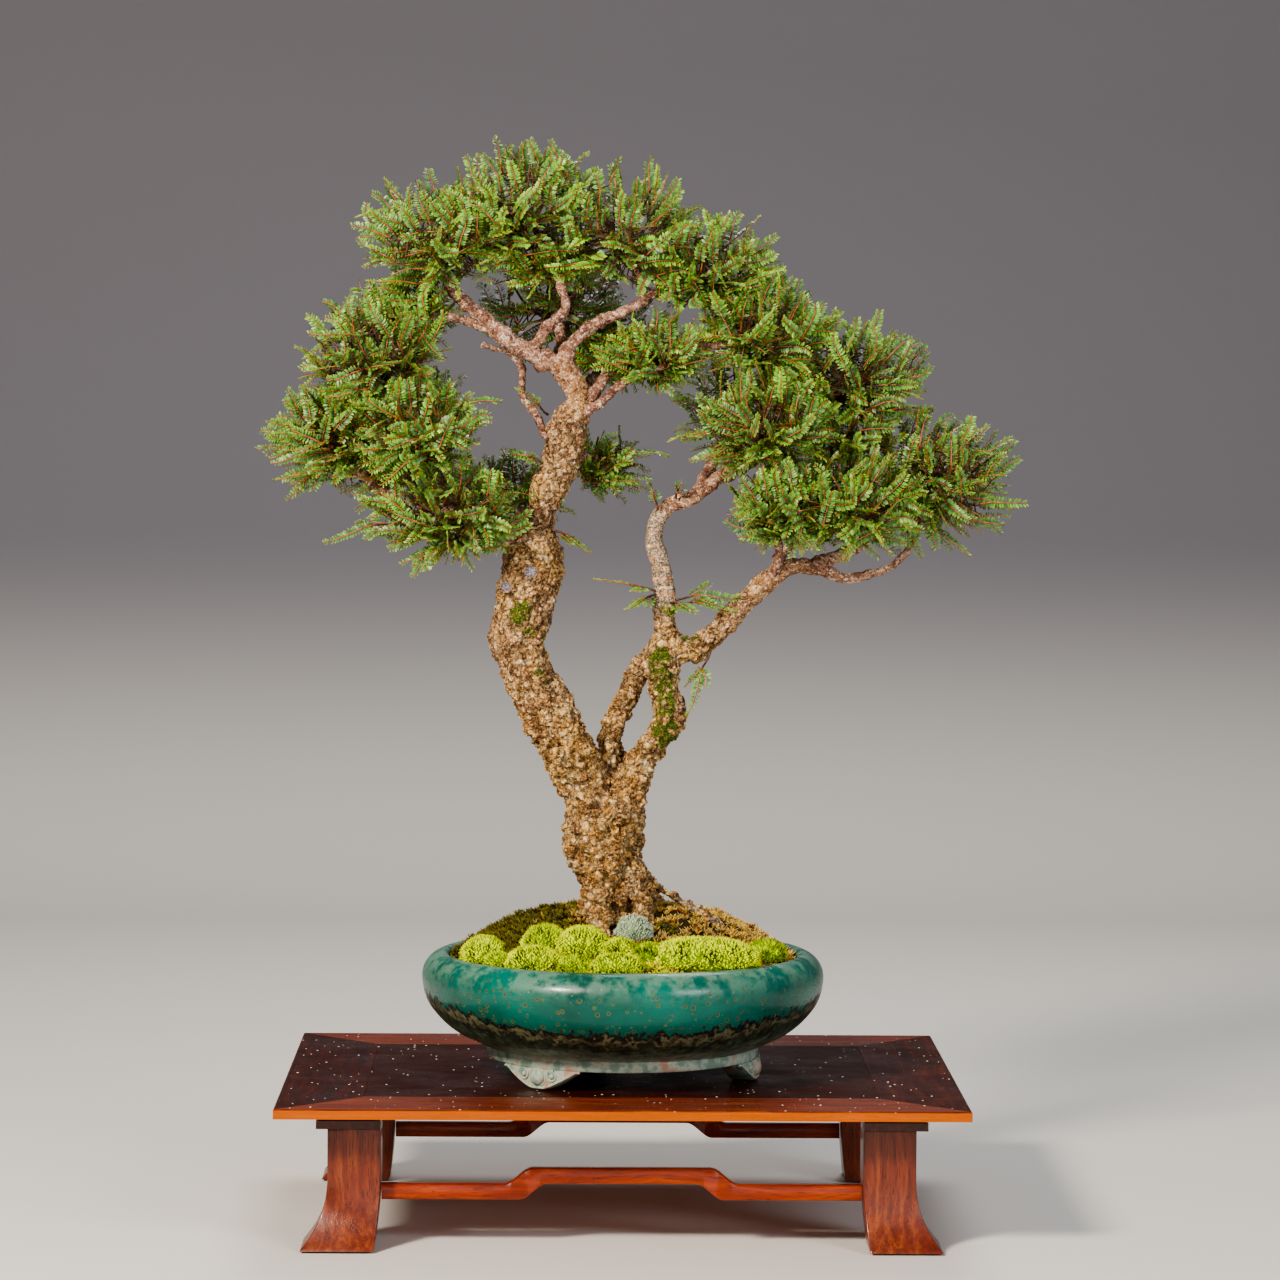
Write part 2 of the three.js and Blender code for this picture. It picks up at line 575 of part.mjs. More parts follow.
// The mesh over the drain hole, a thin plate with square holes.
function drainScreen() {
  const thickness = 0.8;
  const size = 38;
  const pitch = 8;
  const opening = 6;
  const holes = [-0.5, 0.5].flatMap((row) => [-0.5, 0.5].map((column) => (
    new THREE.BoxGeometry(opening, opening, 3 * thickness).translate(row * pitch, column * pitch, 0))));
  const plate = holes.map(solid).reduce((left, hole) => left.subtract(hole),
    solid(new THREE.BoxGeometry(size, size, thickness)));
  return geometryOf(plate).translate(0, 0, 33.5 + gap + thickness / 2);
}

// The stand

const half = { x: stand.width / 2, y: stand.depth / 2 };

// A rail of the top along X, mitred at both ends. Its underside slopes from the thin edge inward.
function rail(length, width) {
  const section = new THREE.Shape([[0, -stand.edge], [0, -1], [1, 0], [width, 0], [width, -stand.belly],
    [stand.legInset - 2, -stand.belly]].map(([u, z]) => new THREE.Vector2(u, z)));
  const bar = new THREE.ExtrudeGeometry(section, { depth: length, bevelEnabled: false });
  return bar;
}

// Places a rail's section: u runs inward from the outer edge. The mitre takes the same share off both ends.
function railPiece(length, width, across) {
  const share = across / width;
  return bend(rail(length, width), (place) => {
    const inward = place.x;
    const height = place.y;
    const end = place.z < length / 2 ? -1 : 1;
    place.set(end * (length / 2 - inward * share - gap / 2), inward, height);
  });
}

// A leg: square at the top, its foot kicks out to both sides in a soft curve.
function leg(sideX, sideY) {
  const low = stand.glide + gap;
  const top = stand.height - stand.belly - stand.batten - 2 * gap;
  const tall = top - low;
  const bar = new THREE.BoxGeometry(stand.leg, stand.leg, tall, 1, 1, 9).translate(0, 0, tall / 2 + low);
  return bend(bar, (place) => {
    const drop = Math.max(0, 1 - (place.z - low) / 62);
    const outward = stand.flare * drop ** 2.6;
    const inward = stand.heel * drop ** 1.8;
    const shift = (value, side) => value + side * (value * side > 0 ? outward : inward);
    place.set(
      shift(place.x, sideX) + sideX * (half.x - stand.legInset - stand.leg / 2),
      shift(place.y, sideY) + sideY * (half.y - stand.legInset - stand.leg / 2),
      place.z,
    );
  });
}

// A humpback stretcher: straight at both ends, raised in a flat hump in its middle.
function stretcher(sideY) {
  const reach = half.x - stand.legInset - stand.leg - gap;
  const { low, height, rise, humpTop, humpUnder, thickness } = humpback;
  const outline = new THREE.Shape();
  outline.moveTo(-reach, low);
  outline.lineTo(-humpUnder[1], low);
  outline.quadraticCurveTo(-humpUnder[1] + 8, low + rise, -humpUnder[0], low + rise);
  outline.lineTo(humpUnder[0], low + rise);
  outline.quadraticCurveTo(humpUnder[1] - 8, low + rise, humpUnder[1], low);
  outline.lineTo(reach, low);
  outline.lineTo(reach, low + height);
  outline.lineTo(humpTop[1], low + height);
  outline.quadraticCurveTo(humpTop[1] - 12, low + height + 1, humpTop[0], low + height + rise);
  outline.lineTo(-humpTop[0], low + height + rise);
  outline.quadraticCurveTo(-humpTop[1] + 12, low + height + 1, -humpTop[1], low + height);
  outline.lineTo(-reach, low + height);
  const bar = new THREE.ExtrudeGeometry(outline, { depth: thickness, bevelEnabled: false, curveSegments: 4 });
  return bar.rotateX(Math.PI / 2).translate(0, sideY * (half.y - humpback.inset) + thickness / 2, 0);
}

function standPieces() {
  const pieces = new THREE.Group();
  const { height, belly, batten, railFront, railSide, glide } = stand;
  const inner = { x: half.x - railSide - gap, y: half.y - railFront - gap };
  const panel = new THREE.BoxGeometry(2 * inner.x, 2 * inner.y, stand.panel);
  pieces.add(named('stand_panel', panel.translate(0, 0, height - stand.panel / 2), rosewood));
  for (const [name, side] of [['front', -1], ['back', 1]]) {
    const bar = named(`stand_rail_${name}`, railPiece(stand.width, railFront, railSide), rosewood);
    bar.position.set(0, side * half.y, height);
    bar.rotation.z = side > 0 ? Math.PI : 0;
    pieces.add(bar, named(`stand_stretcher_${name}`, stretcher(side), rosewood));
  }
  for (const [name, side] of [['left', -1], ['right', 1]]) {
    const bar = named(`stand_rail_${name}`, railPiece(stand.depth, railSide, railFront), rosewood);
    bar.position.set(side * half.x, 0, height);
    bar.rotation.z = side * Math.PI / 2;
    const strip = new THREE.BoxGeometry(stand.battenOuter - half.x + stand.legInset + stand.leg,
      stand.depth - 2 * stand.legInset + 16, batten);
    strip.translate(side * (stand.battenOuter + half.x - stand.legInset - stand.leg) / 2, 0,
      height - belly - gap - batten / 2);
    pieces.add(bar, named(`stand_batten_${name}`, strip, rosewood));
  }
  for (const [name, x, y] of [['front_left', -1, -1], ['front_right', 1, -1], ['back_left', -1, 1],
    ['back_right', 1, 1]]) {
    const pad = new THREE.BoxGeometry(30, 30, glide);
    const [padX, padY] = [[x, half.x], [y, half.y]].map(([side, reach]) => (
      side * (reach - stand.legInset - 8)));
    pieces.add(named(`stand_leg_${name}`, leg(x, y), rosewood));
    pieces.add(named(`stand_glide_${name}`, pad.translate(padX, padY, glide / 2), felt));
  }
  return pieces;
}

// The whole thing

const planted = new THREE.Group(); // the pot and all that it holds
planted.position.set(pot.x, pot.y, stand.height + gap);
planted.add(named('tree', geometryOf(tree), bark));
for (const name of Object.keys(pads)) {
  const colour = name.startsWith('apex') ? youngLeaf : leaf;
  planted.add(named(`foliage_${name}`, geometryOf(foliage(name)), colour));
}
planted.add(named('soil', geometryOf(soil), earth));
planted.add(named('moss_carpet', geometryOf(carpet), mossBrown));
for (const { name, cushion, body } of laid) {
  planted.add(named(`moss_${name}`, geometryOf(body), cushion.colour));
}
planted.add(named('pot', geometryOf(potBody()), glaze));
planted.add(named('drain_screen', drainScreen(), mesh));

const bonsai = new THREE.Group();
bonsai.add(planted, standPieces());

// The origin moves under the middle of the whole thing.
bonsai.updateMatrixWorld(true);
const box = new THREE.Box3().setFromObject(bonsai, true);
bonsai.position.set(-(box.min.x + box.max.x) / 2, -(box.min.y + box.max.y) / 2, -box.min.z);

export default bonsai;
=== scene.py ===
import math

import bmesh
import bpy
import numpy as np
from mathutils import Matrix, Vector, noise
from mathutils.kdtree import KDTree


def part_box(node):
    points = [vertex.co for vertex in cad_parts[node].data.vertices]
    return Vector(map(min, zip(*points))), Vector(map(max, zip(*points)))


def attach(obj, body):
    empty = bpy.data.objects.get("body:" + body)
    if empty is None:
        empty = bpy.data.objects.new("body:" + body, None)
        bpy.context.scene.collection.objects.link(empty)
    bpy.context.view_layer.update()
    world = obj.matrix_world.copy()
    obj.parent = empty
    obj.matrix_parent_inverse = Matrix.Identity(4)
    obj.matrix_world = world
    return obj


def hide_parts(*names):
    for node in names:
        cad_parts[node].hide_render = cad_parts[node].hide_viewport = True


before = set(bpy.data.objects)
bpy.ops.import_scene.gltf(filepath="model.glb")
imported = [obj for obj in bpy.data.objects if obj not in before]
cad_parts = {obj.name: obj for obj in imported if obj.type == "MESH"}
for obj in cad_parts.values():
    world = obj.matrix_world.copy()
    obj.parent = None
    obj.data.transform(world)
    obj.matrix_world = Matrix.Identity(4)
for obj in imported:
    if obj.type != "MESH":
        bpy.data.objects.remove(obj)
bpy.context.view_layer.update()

noise.seed_set(3)  # without it, noise_vector differs from run to run

# Places in the lists are in millimetres from the middle of the pot's foot, along the frame's axes.
mm = 0.001
up = np.array([0.0, 0.0, 1.0])
quarter = math.pi / 2
potLow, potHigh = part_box("pot")
potFoot = np.array([(potLow.x + potHigh.x) / 2, (potLow.y + potHigh.y) / 2, potLow.z])
panelLow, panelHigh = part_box("stand_panel")
standMid = np.array([(panelLow.x + panelHigh.x) / 2, (panelLow.y + panelHigh.y) / 2, 0])
standTop = panelHigh.z


def intoScene(made):
    bpy.context.scene.collection.objects.link(made)


# Camera

camera = {
    "lens": 133.2,
    "sensor": 36,
    "farthest": 50,
    "place": (-0.0465, -4.0267, 0.7132),  # from the stand's middle on the floor
    "down": 3.166,  # degrees
    "right": 0.869,
    "roll": 0.374,
}


def setCamera():
    data = bpy.data.cameras.new("camera")
    data.lens = camera["lens"]
    data.sensor_width = camera["sensor"]
    data.clip_end = camera["farthest"]
    holder = bpy.data.objects.new("camera", data)
    intoScene(holder)
    turn = (Matrix.Rotation(math.radians(-camera["right"]), 4, "Z")
            @ Matrix.Rotation(math.radians(90 - camera["down"]), 4, "X")
            @ Matrix.Rotation(math.radians(camera["roll"]), 4, "Z"))
    holder.matrix_world = Matrix.Translation(Vector(camera["place"]) + Vector(standMid)) @ turn
    bpy.context.scene.camera = holder


setCamera()


# Shapes

def unit(v):
    return v / np.maximum(np.linalg.norm(v, axis=-1, keepdims=True), 1e-12)


def smooth(low, high, value):
    t = np.clip((value - low) / (high - low), 0, 1)
    return t * t * (3 - 2 * t)


def circle(count):
    return np.linspace(0, 2 * math.pi, count, endpoint=False)


def evenly(count, lowest):
    # Heights and turns that spread directions evenly, from straight up down to the lowest
    return 1 - (np.arange(count) + 0.5) / count * (1 - lowest), np.arange(count) * 2.39996


def directions(height, turn):
    flat = np.sqrt(np.maximum(0, 1 - height * height))
    return np.stack([flat * np.cos(turn), flat * np.sin(turn), height], -1)


def neighbours(points):
    nearest = KDTree(len(points))
    for i, point in enumerate(points):
        nearest.insert(point, i)
    nearest.balance()
    return nearest


def splitEdges(made, degrees):
    sharp = made.modifiers.new("edges", "EDGE_SPLIT")
    sharp.split_angle = math.radians(degrees)


# Mesh data gathered from many small shapes, with a material slot and values for the shader
class Pile:
    def __init__(self):
        self.points, self.faces, self.values, self.count = [], [], {}, 0

    def add(self, points, faces, slot=0, **values):
        points = np.asarray(points, float).reshape(-1, 3)
        for face in faces:
            face = np.asarray(face, int)
            if len(face):
                self.faces.append((face + self.count, slot))
        for key, value in values.items():
            self.values.setdefault(key, []).append((self.count, np.broadcast_to(value, len(points))))
        self.points.append(points)
        self.count += len(points)

    def mesh(self, name, scale=mm, origin=potFoot):
        mesh = bpy.data.meshes.new(name)
        mesh.vertices.add(self.count)
        mesh.vertices.foreach_set("co", (np.concatenate(self.points) * scale + origin).ravel())
        corners = np.concatenate([face.ravel() for face, slot in self.faces])
        sizes = np.concatenate([np.full(len(face), face.shape[1]) for face, slot in self.faces])
        slots = np.concatenate([np.full(len(face), slot) for face, slot in self.faces])
        mesh.loops.add(len(corners))
        mesh.loops.foreach_set("vertex_index", corners.astype(np.int32))
        mesh.polygons.add(len(sizes))
        starts = np.concatenate([[0], np.cumsum(sizes)[:-1]])
        mesh.polygons.foreach_set("loop_start", starts.astype(np.int32))
        mesh.polygons.foreach_set("material_index", slots.astype(np.int32))
        mesh.polygons.foreach_set("use_smooth", np.full(len(sizes), True))
        for key, parts in self.values.items():
            whole = np.zeros(self.count)
            for start, value in parts:
                whole[start:start + len(value)] = value
            mesh.attributes.new(key, "FLOAT", "POINT").data.foreach_set("value", whole.astype(np.float32))
        mesh.update(calc_edges=True)
        mesh.validate()
        return mesh

    def piece(self, name, materials, **how):
        made = bpy.data.objects.new(name, self.mesh(name, **how))
        intoScene(made)
        for material in materials:
            made.data.materials.append(material)
        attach(made, "root")
        return made


def ring(count):
    # The numbers of a ring's points, and of the point that follows each
    j = np.arange(count)
    return j, (j + 1) % count


def grid(rows, columns):
    # Quads between rows of points that run round a tube
    i, j = np.meshgrid(np.arange(rows - 1), np.arange(columns), indexing="ij")
    k = (j + 1) % columns
    here, there = i * columns, (i + 1) * columns
    return np.stack([here + j, here + k, there + k, there + j], -1).reshape(-1, 4)


def fan(tip, near, far):
    # Triangles that close a ring at one point
    return np.stack([np.full(len(near), tip), near, far], -1)


def sidesOf(path):
    # Two directions across a line at each of its points, carried along it without a twist
    ways = unit(np.gradient(path, axis=0))
    side = np.zeros_like(path)
    last = np.cross(ways[0], [0.3, 0.9, 0.2] if abs(ways[0][2]) > 0.8 else up)
    for i, way in enumerate(ways):
        last = last - way * last.dot(way)
        last = last / np.linalg.norm(last)
        side[i] = last
    return side, np.cross(ways, side)


def tube(path, radii, count=8, ripple=None):
    path = np.asarray(path, float)
    a, b = sidesOf(path)
    turn = circle(count)
    radius = np.broadcast_to(np.asarray(radii, float)[:, None], (len(path), count))
    if ripple is not None:
        radius = radius * ripple(np.arange(len(path))[:, None] / (len(path) - 1), turn[None, :])
    rings = path[:, None] + radius[..., None] * (np.cos(turn)[None, :, None] * a[:, None]
                                                 + np.sin(turn)[None, :, None] * b[:, None])
    points = np.vstack([rings.reshape(-1, 3), path[0], path[-1]])
    first, last = len(path) * count, len(path) * count + 1
    j, k = ring(count)
    caps = np.vstack([fan(first, k, j), fan(last, first - count + j, first - count + k)])
    return points, [grid(len(path), count), caps]


def throughPoints(points, spacing):
    # A smooth line through points of x, y, z and thickness, in even steps
    def gap(p, q):
        return max(np.linalg.norm((q - p)[:3]), 1e-3) ** 0.5

    points = np.array(points, float)
    padded = np.vstack([2 * points[0] - points[1], points, 2 * points[-1] - points[-2]])
    line = [points[:1]]
    for a, b, c, d in zip(padded[:-3], padded[1:-2], padded[2:-1], padded[3:]):
        t1 = gap(a, b)
        t2 = t1 + gap(b, c)
        t3 = t2 + gap(c, d)
        t = np.linspace(t1, t2, 13)[1:, None]
        ab = ((t1 - t) * a + t * b) / t1
        bc = ((t2 - t) * b + (t - t1) * c) / (t2 - t1)
        cd = ((t3 - t) * c + (t - t2) * d) / (t3 - t2)
        abc = ((t2 - t) * ab + t * bc) / t2
        bcd = ((t3 - t) * bc + (t - t1) * cd) / (t3 - t1)
        line.append(((t2 - t) * abc + (t - t1) * bcd) / (t2 - t1))
    line = np.vstack(line)
    run = np.concatenate([[0], np.cumsum(np.linalg.norm(np.diff(line[:, :3], axis=0), axis=1))])
    even = np.linspace(0, run[-1], max(3, int(run[-1] / spacing) + 1))
    return np.stack([np.interp(even, run, line[:, k]) for k in range(4)], -1)


def limbTube(points, spacing, count, ripple=None):
    # A limb from its list of points: its line, and the tube's points and faces
    line = throughPoints(points, spacing)
    return line, tube(line[:, :3], line[:, 3] / 2, count, ripple)


# Shader helpers

def colour(text):
    # A hex colour as the shader's linear one
    parts = [int(text[i:i + 2], 16) / 255 for i in (1, 3, 5)]
    return [p / 12.92 if p <= 0.04045 else ((p + 0.055) / 1.055) ** 2.4 for p in parts] + [1.0]


def put(tree, kind, inputs=None, **settings):
    # A new node, with sockets linked and numbers set
    made = tree.nodes.new("ShaderNode" + kind)
    for key, value in settings.items():
        setattr(made, key, value)
    for key, value in (inputs or {}).items():
        if isinstance(value, bpy.types.NodeSocket):
            tree.links.new(value, made.inputs[key])
        else:
            made.inputs[key].default_value = value
    return made


def calc(tree, how, values, clamp=False):
    # One result from two or more values, taken in turn; only the last step is clamped
    total = values[0]
    for value in values[1:]:
        step = put(tree, "Math", {0: total, 1: value}, operation=how)
        total = step.outputs[0]
    if clamp:
        step.use_clamp = True
    return total


def plus(tree, *values, clamp=False):
    return calc(tree, "ADD", values, clamp)


def minus(tree, first, second, clamp=False):
    return calc(tree, "SUBTRACT", (first, second), clamp)


def times(tree, *values):
    return calc(tree, "MULTIPLY", values)


def swing(tree, value, reach):
    # A value from 0 to 1 as one that swings about 0
    return times(tree, minus(tree, value, 0.5), reach)


def rangeOf(tree, value, low, high, toLow=0.0, toHigh=1.0):
    return put(tree, "MapRange", {0: value, 1: low, 2: high, 3: toLow, 4: toHigh},
               interpolation_type="SMOOTHSTEP").outputs[0]


def ramp(tree, factor, places, shades):
    made = put(tree, "ValToRGB", {"Fac": factor})
    elements = made.color_ramp.elements
    while len(elements) < len(shades):
        elements.new(0.5)
    for element, place, text in zip(elements, places, shades):
        element.position = place
        element.color = colour(text)
    return made.outputs["Color"]


def blend(tree, factor, first, second, how="MIX"):
    return put(tree, "Mix", {0: factor, 6: first, 7: second}, data_type="RGBA", blend_type=how).outputs[2]


def tinted(tree, shade, text, *masks):
    # The shade with a colour laid over it, as far as the product of the masks
    return blend(tree, times(tree, *masks), shade, colour(text))


def valuesOf(tree, *names):
    return [put(tree, "Attribute", attribute_name=name).outputs["Fac"] for name in names]


def noiseAt(tree, place, scale, detail=2.0, roughness=0.5):
    return put(tree, "TexNoise", {"Vector": place, "Scale": scale, "Detail": detail,
                                  "Roughness": roughness}).outputs


def shifted(tree, place, scale, detail, reach):
    # The place, pushed about by noise
    push = put(tree, "VectorMath", {0: noiseAt(tree, place, scale, detail)["Color"], "Scale": reach},
               operation="SCALE")
    return put(tree, "VectorMath", {0: place, 1: push.outputs[0]}, operation="ADD").outputs[0]


def stretched(tree, place, *scale):
    return put(tree, "Mapping", {"Vector": place, "Scale": scale}).outputs[0]


def newGroup(name, numbers, outputs):
    # A group that takes a place and some numbers, and puts out values
    group = bpy.data.node_groups.new(name, "ShaderNodeTree")
    group.interface.new_socket(name="Vector", in_out="INPUT", socket_type="NodeSocketVector")
    for label, value in numbers.items():
        socket = group.interface.new_socket(name=label, in_out="INPUT", socket_type="NodeSocketFloat")
        socket.default_value = value
    for label in outputs:
        group.interface.new_socket(name=label, in_out="OUTPUT", socket_type="NodeSocketFloat")
    return group, group.nodes.new("NodeGroupInput").outputs, group.nodes.new("NodeGroupOutput").inputs


def use(tree, group, place, **numbers):
    return put(tree, "Group", {"Vector": place, **numbers}, node_tree=group).outputs


def clouds(tree, place, scale, detail=4.0, contrast=1.0):
    return use(tree, mottle, place, Scale=scale, Detail=detail, Contrast=contrast)["Value"]


def newMaterial(name, roughness, coat=0.0, specular=0.5):
    material = bpy.data.materials.new(name)
    material.use_nodes = True
    tree = material.node_tree
    to = tree.nodes["Principled BSDF"].inputs
    to["Roughness"].default_value = roughness
    to["Coat Weight"].default_value = coat
    to["Specular IOR Level"].default_value = specular
    return material, tree, to, put(tree, "TexCoord").outputs["Object"]


def cover(tree, to, shade, relief, strength, depth):
    # A finish's colour and its relief, in metres
    tree.links.new(shade, to["Base Color"])
    bump = put(tree, "Bump", {"Height": relief, "Strength": strength, "Distance": depth})
    tree.links.new(bump.outputs["Normal"], to["Normal"])


# Effects shared by the finishes

# Cloudy unevenness from 0 to 1
mottle, given, made = newGroup("mottle", {"Scale": 50.0, "Detail": 4.0, "Contrast": 1.0}, ["Value"])
cloud = noiseAt(mottle, given["Vector"], given["Scale"], given["Detail"], 0.6)["Fac"]
mottle.links.new(plus(mottle, swing(mottle, cloud, given["Contrast"]), 0.5, clamp=True), made["Value"])

# Small round spots, here and there, with their rims
spots, given, made = newGroup("spots", {"Scale": 300.0, "Size": 0.25, "Share": 0.3}, ["Spot", "Rim"])
cells = put(spots, "TexVoronoi", {"Vector": given["Vector"], "Scale": given["Scale"]}).outputs
draw = put(spots, "SeparateColor", {0: cells["Color"]}).outputs
chosen = calc(spots, "LESS_THAN", (draw[0], given["Share"]))
size = times(spots, given["Size"], plus(spots, times(spots, draw[1], 0.8), 0.4))
inside = minus(spots, 1.0, calc(spots, "DIVIDE", (cells["Distance"], size)), clamp=True)
disc = rangeOf(spots, inside, 0.0, 0.25)
core = rangeOf(spots, inside, 0.3, 0.6)
spots.links.new(times(spots, disc, chosen), made["Spot"])
spots.links.new(times(spots, minus(spots, disc, core, clamp=True), chosen), made["Rim"])

# Grain that runs along X: long streaks, fine pores and a slow change of colour
grain, given, made = newGroup("grain", {"Streaks": 90.0, "Stretch": 0.05, "Pores": 900.0},
                              ["Streak", "Pore", "Drift"])
wavy = shifted(grain, given["Vector"], 7.0, 2.0, 0.02)
squeeze = put(grain, "CombineXYZ", {0: given["Stretch"], 1: 1.0, 2: 1.0}).outputs[0]
along = put(grain, "VectorMath", {0: wavy, 1: squeeze}, operation="MULTIPLY").outputs[0]
pores = noiseAt(grain, along, given["Pores"])["Fac"]
grain.links.new(noiseAt(grain, along, given["Streaks"], 5.0, 0.65)["Fac"], made["Streak"])
grain.links.new(rangeOf(grain, pores, 0.56, 0.68), made["Pore"])
grain.links.new(noiseAt(grain, along, 14.0, 1.0)["Fac"], made["Drift"])


# Bark, from corky and golden on the trunks to smooth and silvery on young wood

bark = {
    "crumbs": ["#2a1a12", "#6a4a38", "#96745e", "#be9268", "#deb284", "#f6d8ac"],  # from dark to light
    "golden": ["#40240e", "#98622a", "#cc944a", "#e8b266", "#f6cf8e", "#fde6ba"],
    "young": ["#301c16", "#6a4436", "#906450", "#aa7e66", "#c8a088", "#e6ccb8"],
    "silver": ["#42342a", "#867460", "#c6b8a2"],
    # the colour of the painted shade between the crumbs and in the cracks
    "creviceShade": "#1a0f08",
    "fleck": "#fbf3e2",
    "moss": ["#161f08", "#45560f", "#8a9430"],
    "scar": ["#4c464c", "#99929a"],
    "goldFoot": 0.22,  # the golden shade fades between these heights over the stand, in metres
    "goldTop": 0.46,
    "scale": {"crumb": 430.0, "fine": 650.0, "patch": 75.0, "zone": 24.0, "band": 60.0,  # marks to a metre
              "fleck": 260.0, "moss": 170.0, "push": 330.0},
    "push": 0.0045,  # how far the crumbs' edges wander
    "relief": 0.0011,
}


def crumbColour(tree, pick, shades):
    return ramp(tree, pick, (0.04, 0.2, 0.4, 0.6, 0.8, 0.97), shades)


def barkFinish():
    material, tree, to, place = newMaterial("barkFinish", 0.8, specular=0.3)
    crack, youth, mossy, scar, silver = valuesOf(tree, "crack", "youth", "mossy", "scar", "silver")
    scale = bark["scale"]
    moved = shifted(tree, place, scale["push"], 4.0, bark["push"])
    crumbs = put(tree, "TexVoronoi", {"Vector": moved, "Scale": scale["crumb"]}).outputs["Color"]
    between = put(tree, "TexVoronoi", {"Vector": moved, "Scale": scale["crumb"]},
                  feature="DISTANCE_TO_EDGE").outputs["Distance"]
    pick = put(tree, "SeparateColor", {0: crumbs}).outputs[0]
    fine = clouds(tree, place, scale["fine"], contrast=2.2)
    zones = clouds(tree, place, scale["zone"], 3.0, 3.2)
    dim = clouds(tree, place, scale["patch"], contrast=2.6)
    # Each crumb has a shade of its own, in lighter and darker patches, and golden zones low on the trunk
    both = plus(tree, times(tree, pick, 0.62), times(tree, fine, 0.5), times(tree, dim, 0.4))
    both = minus(tree, both, 0.17, clamp=True)
    height = put(tree, "SeparateXYZ", {0: place}).outputs["Z"]
    lower = rangeOf(tree, height, standTop + bark["goldTop"], standTop + bark["goldFoot"], 0.35, 0.85)
    gold = plus(tree, lower, swing(tree, zones, 0.9), clamp=True)
    plain, golden, young = (crumbColour(tree, both, bark[key]) for key in ("crumbs", "golden", "young"))
    shade = blend(tree, youth, blend(tree, gold, plain, golden), young)
    bands = clouds(tree, stretched(tree, place, 1.0, 1.0, 4.0), scale["band"], 3.0, 3.0)
    sheen = ramp(tree, fine, (0.15, 0.5, 0.85), bark["silver"])
    shade = blend(tree, times(tree, silver, rangeOf(tree, bands, 0.2, 0.55)), shade, sheen)
    flecks = use(tree, spots, moved, Scale=scale["fleck"], Size=0.3, Share=0.16)["Spot"]
    shade = tinted(tree, shade, bark["fleck"], flecks, 0.6)
    # Painted shade between the crumbs, and deeper painted shade in the cracks between the plates
    gapShade = times(tree, rangeOf(tree, between, 0.07, 0.0), rangeOf(tree, dim, 0.7, 0.3, 0.1, 1.0),
                 minus(tree, 1.0, times(tree, silver, 0.85)))
    shade = tinted(tree, shade, bark["creviceShade"], gapShade, 0.8)
    deep = times(tree, rangeOf(tree, crack, 0.36, 0.0), rangeOf(tree, fine, 0.8, 0.3, 0.55, 1.0))
    shade = tinted(tree, shade, bark["creviceShade"], deep, 0.9)
    # Ragged moss, and the smooth scars
    tatter = clouds(tree, place, scale["moss"], 5.0, 3.0)
    sparse = plus(tree, swing(tree, tatter, 0.8), swing(tree, fine, 0.5))
    ragged = rangeOf(tree, plus(tree, mossy, sparse), 0.5, 0.62)
    shade = blend(tree, ragged, shade, ramp(tree, fine, (0.15, 0.5, 0.9), bark["moss"]))
    shade = blend(tree, scar, shade, ramp(tree, fine, (0.3, 0.7), bark["scar"]))
    rounded = rangeOf(tree, between, 0.0, 0.28)
    relief = plus(tree, times(tree, rounded, 0.9), times(tree, pick, 0.7), times(tree, fine, 0.5))
    calm = minus(tree, 1.0, times(tree, plus(tree, silver, scar, clamp=True), 0.75))
    cover(tree, to, shade, times(tree, relief, calm), 0.9, bark["relief"])
    return material


# Leaves, their red stems and the twigs that bear them

foliage = {
    # the old shade also stands for painted shade on the leaves deep inside a pad
    "leaf": ["#042218", "#1a652c", "#70b030"],  # old, grown and young
    "edge": "#bcd24c",
    "edging": 0.5,
    "under": "#5c8f50",
    "underside": 0.6,
    "warm": "#6f8a2c",
    "warmth": 0.07,
    "stem": ["#86401c", "#c87c46"],
    "twig": ["#2e1d15", "#6a4c3a"],
    "gloss": 0.42,
}


def leafFinish():
    material, tree, to, place = newMaterial("leafFinish", foliage["gloss"])
    age, tone, tip = valuesOf(tree, "age", "tone", "tip")
    both = plus(tree, age, swing(tree, tone, 0.35), clamp=True)
    shade = ramp(tree, both, (0.0, 0.45, 1.0), foliage["leaf"])
    shade = tinted(tree, shade, foliage["edge"], tip, foliage["edging"])
    shade = tinted(tree, shade, foliage["warm"], clouds(tree, place, 16.0, 2.0, 2.0), foliage["warmth"])
    back = put(tree, "NewGeometry").outputs["Backfacing"]
    shade = tinted(tree, shade, foliage["under"], back, foliage["underside"])
    cover(tree, to, shade, noiseAt(tree, place, 1500.0)["Fac"], 0.25, 0.0003)
    return material


def stemFinish(name, shades, roughness):
    material, tree, to, place = newMaterial(name, roughness, specular=0.4)
    shade = ramp(tree, clouds(tree, place, 160.0, contrast=2.0), (0.2, 0.8), shades)
    cover(tree, to, shade, noiseAt(tree, place, 1200.0)["Fac"], 0.5, 0.0004)
    return material


# Moss

mosses = {  # shades from dark to light, the tips' colour and how far it goes
    "brightMoss": (["#1a2802", "#6c8a02", "#c0d406", "#f2f410"], "#fafc3c", 0.55),
    "paleMoss": (["#4c5c40", "#8a9c7a", "#b4c2a4"], "#e8ecdc", 0.7),
    "oliveMoss": (["#0c0903", "#2c2208", "#4e4610", "#7a761c"], "#aca43e", 0.5),
    "rustMoss": (["#241206", "#7a5012", "#b48a28", "#d6b450"], "#f0dc90", 0.65),
    "redMoss": (["#3c1008", "#8a3418"], "#c0683a", 0.4),
}


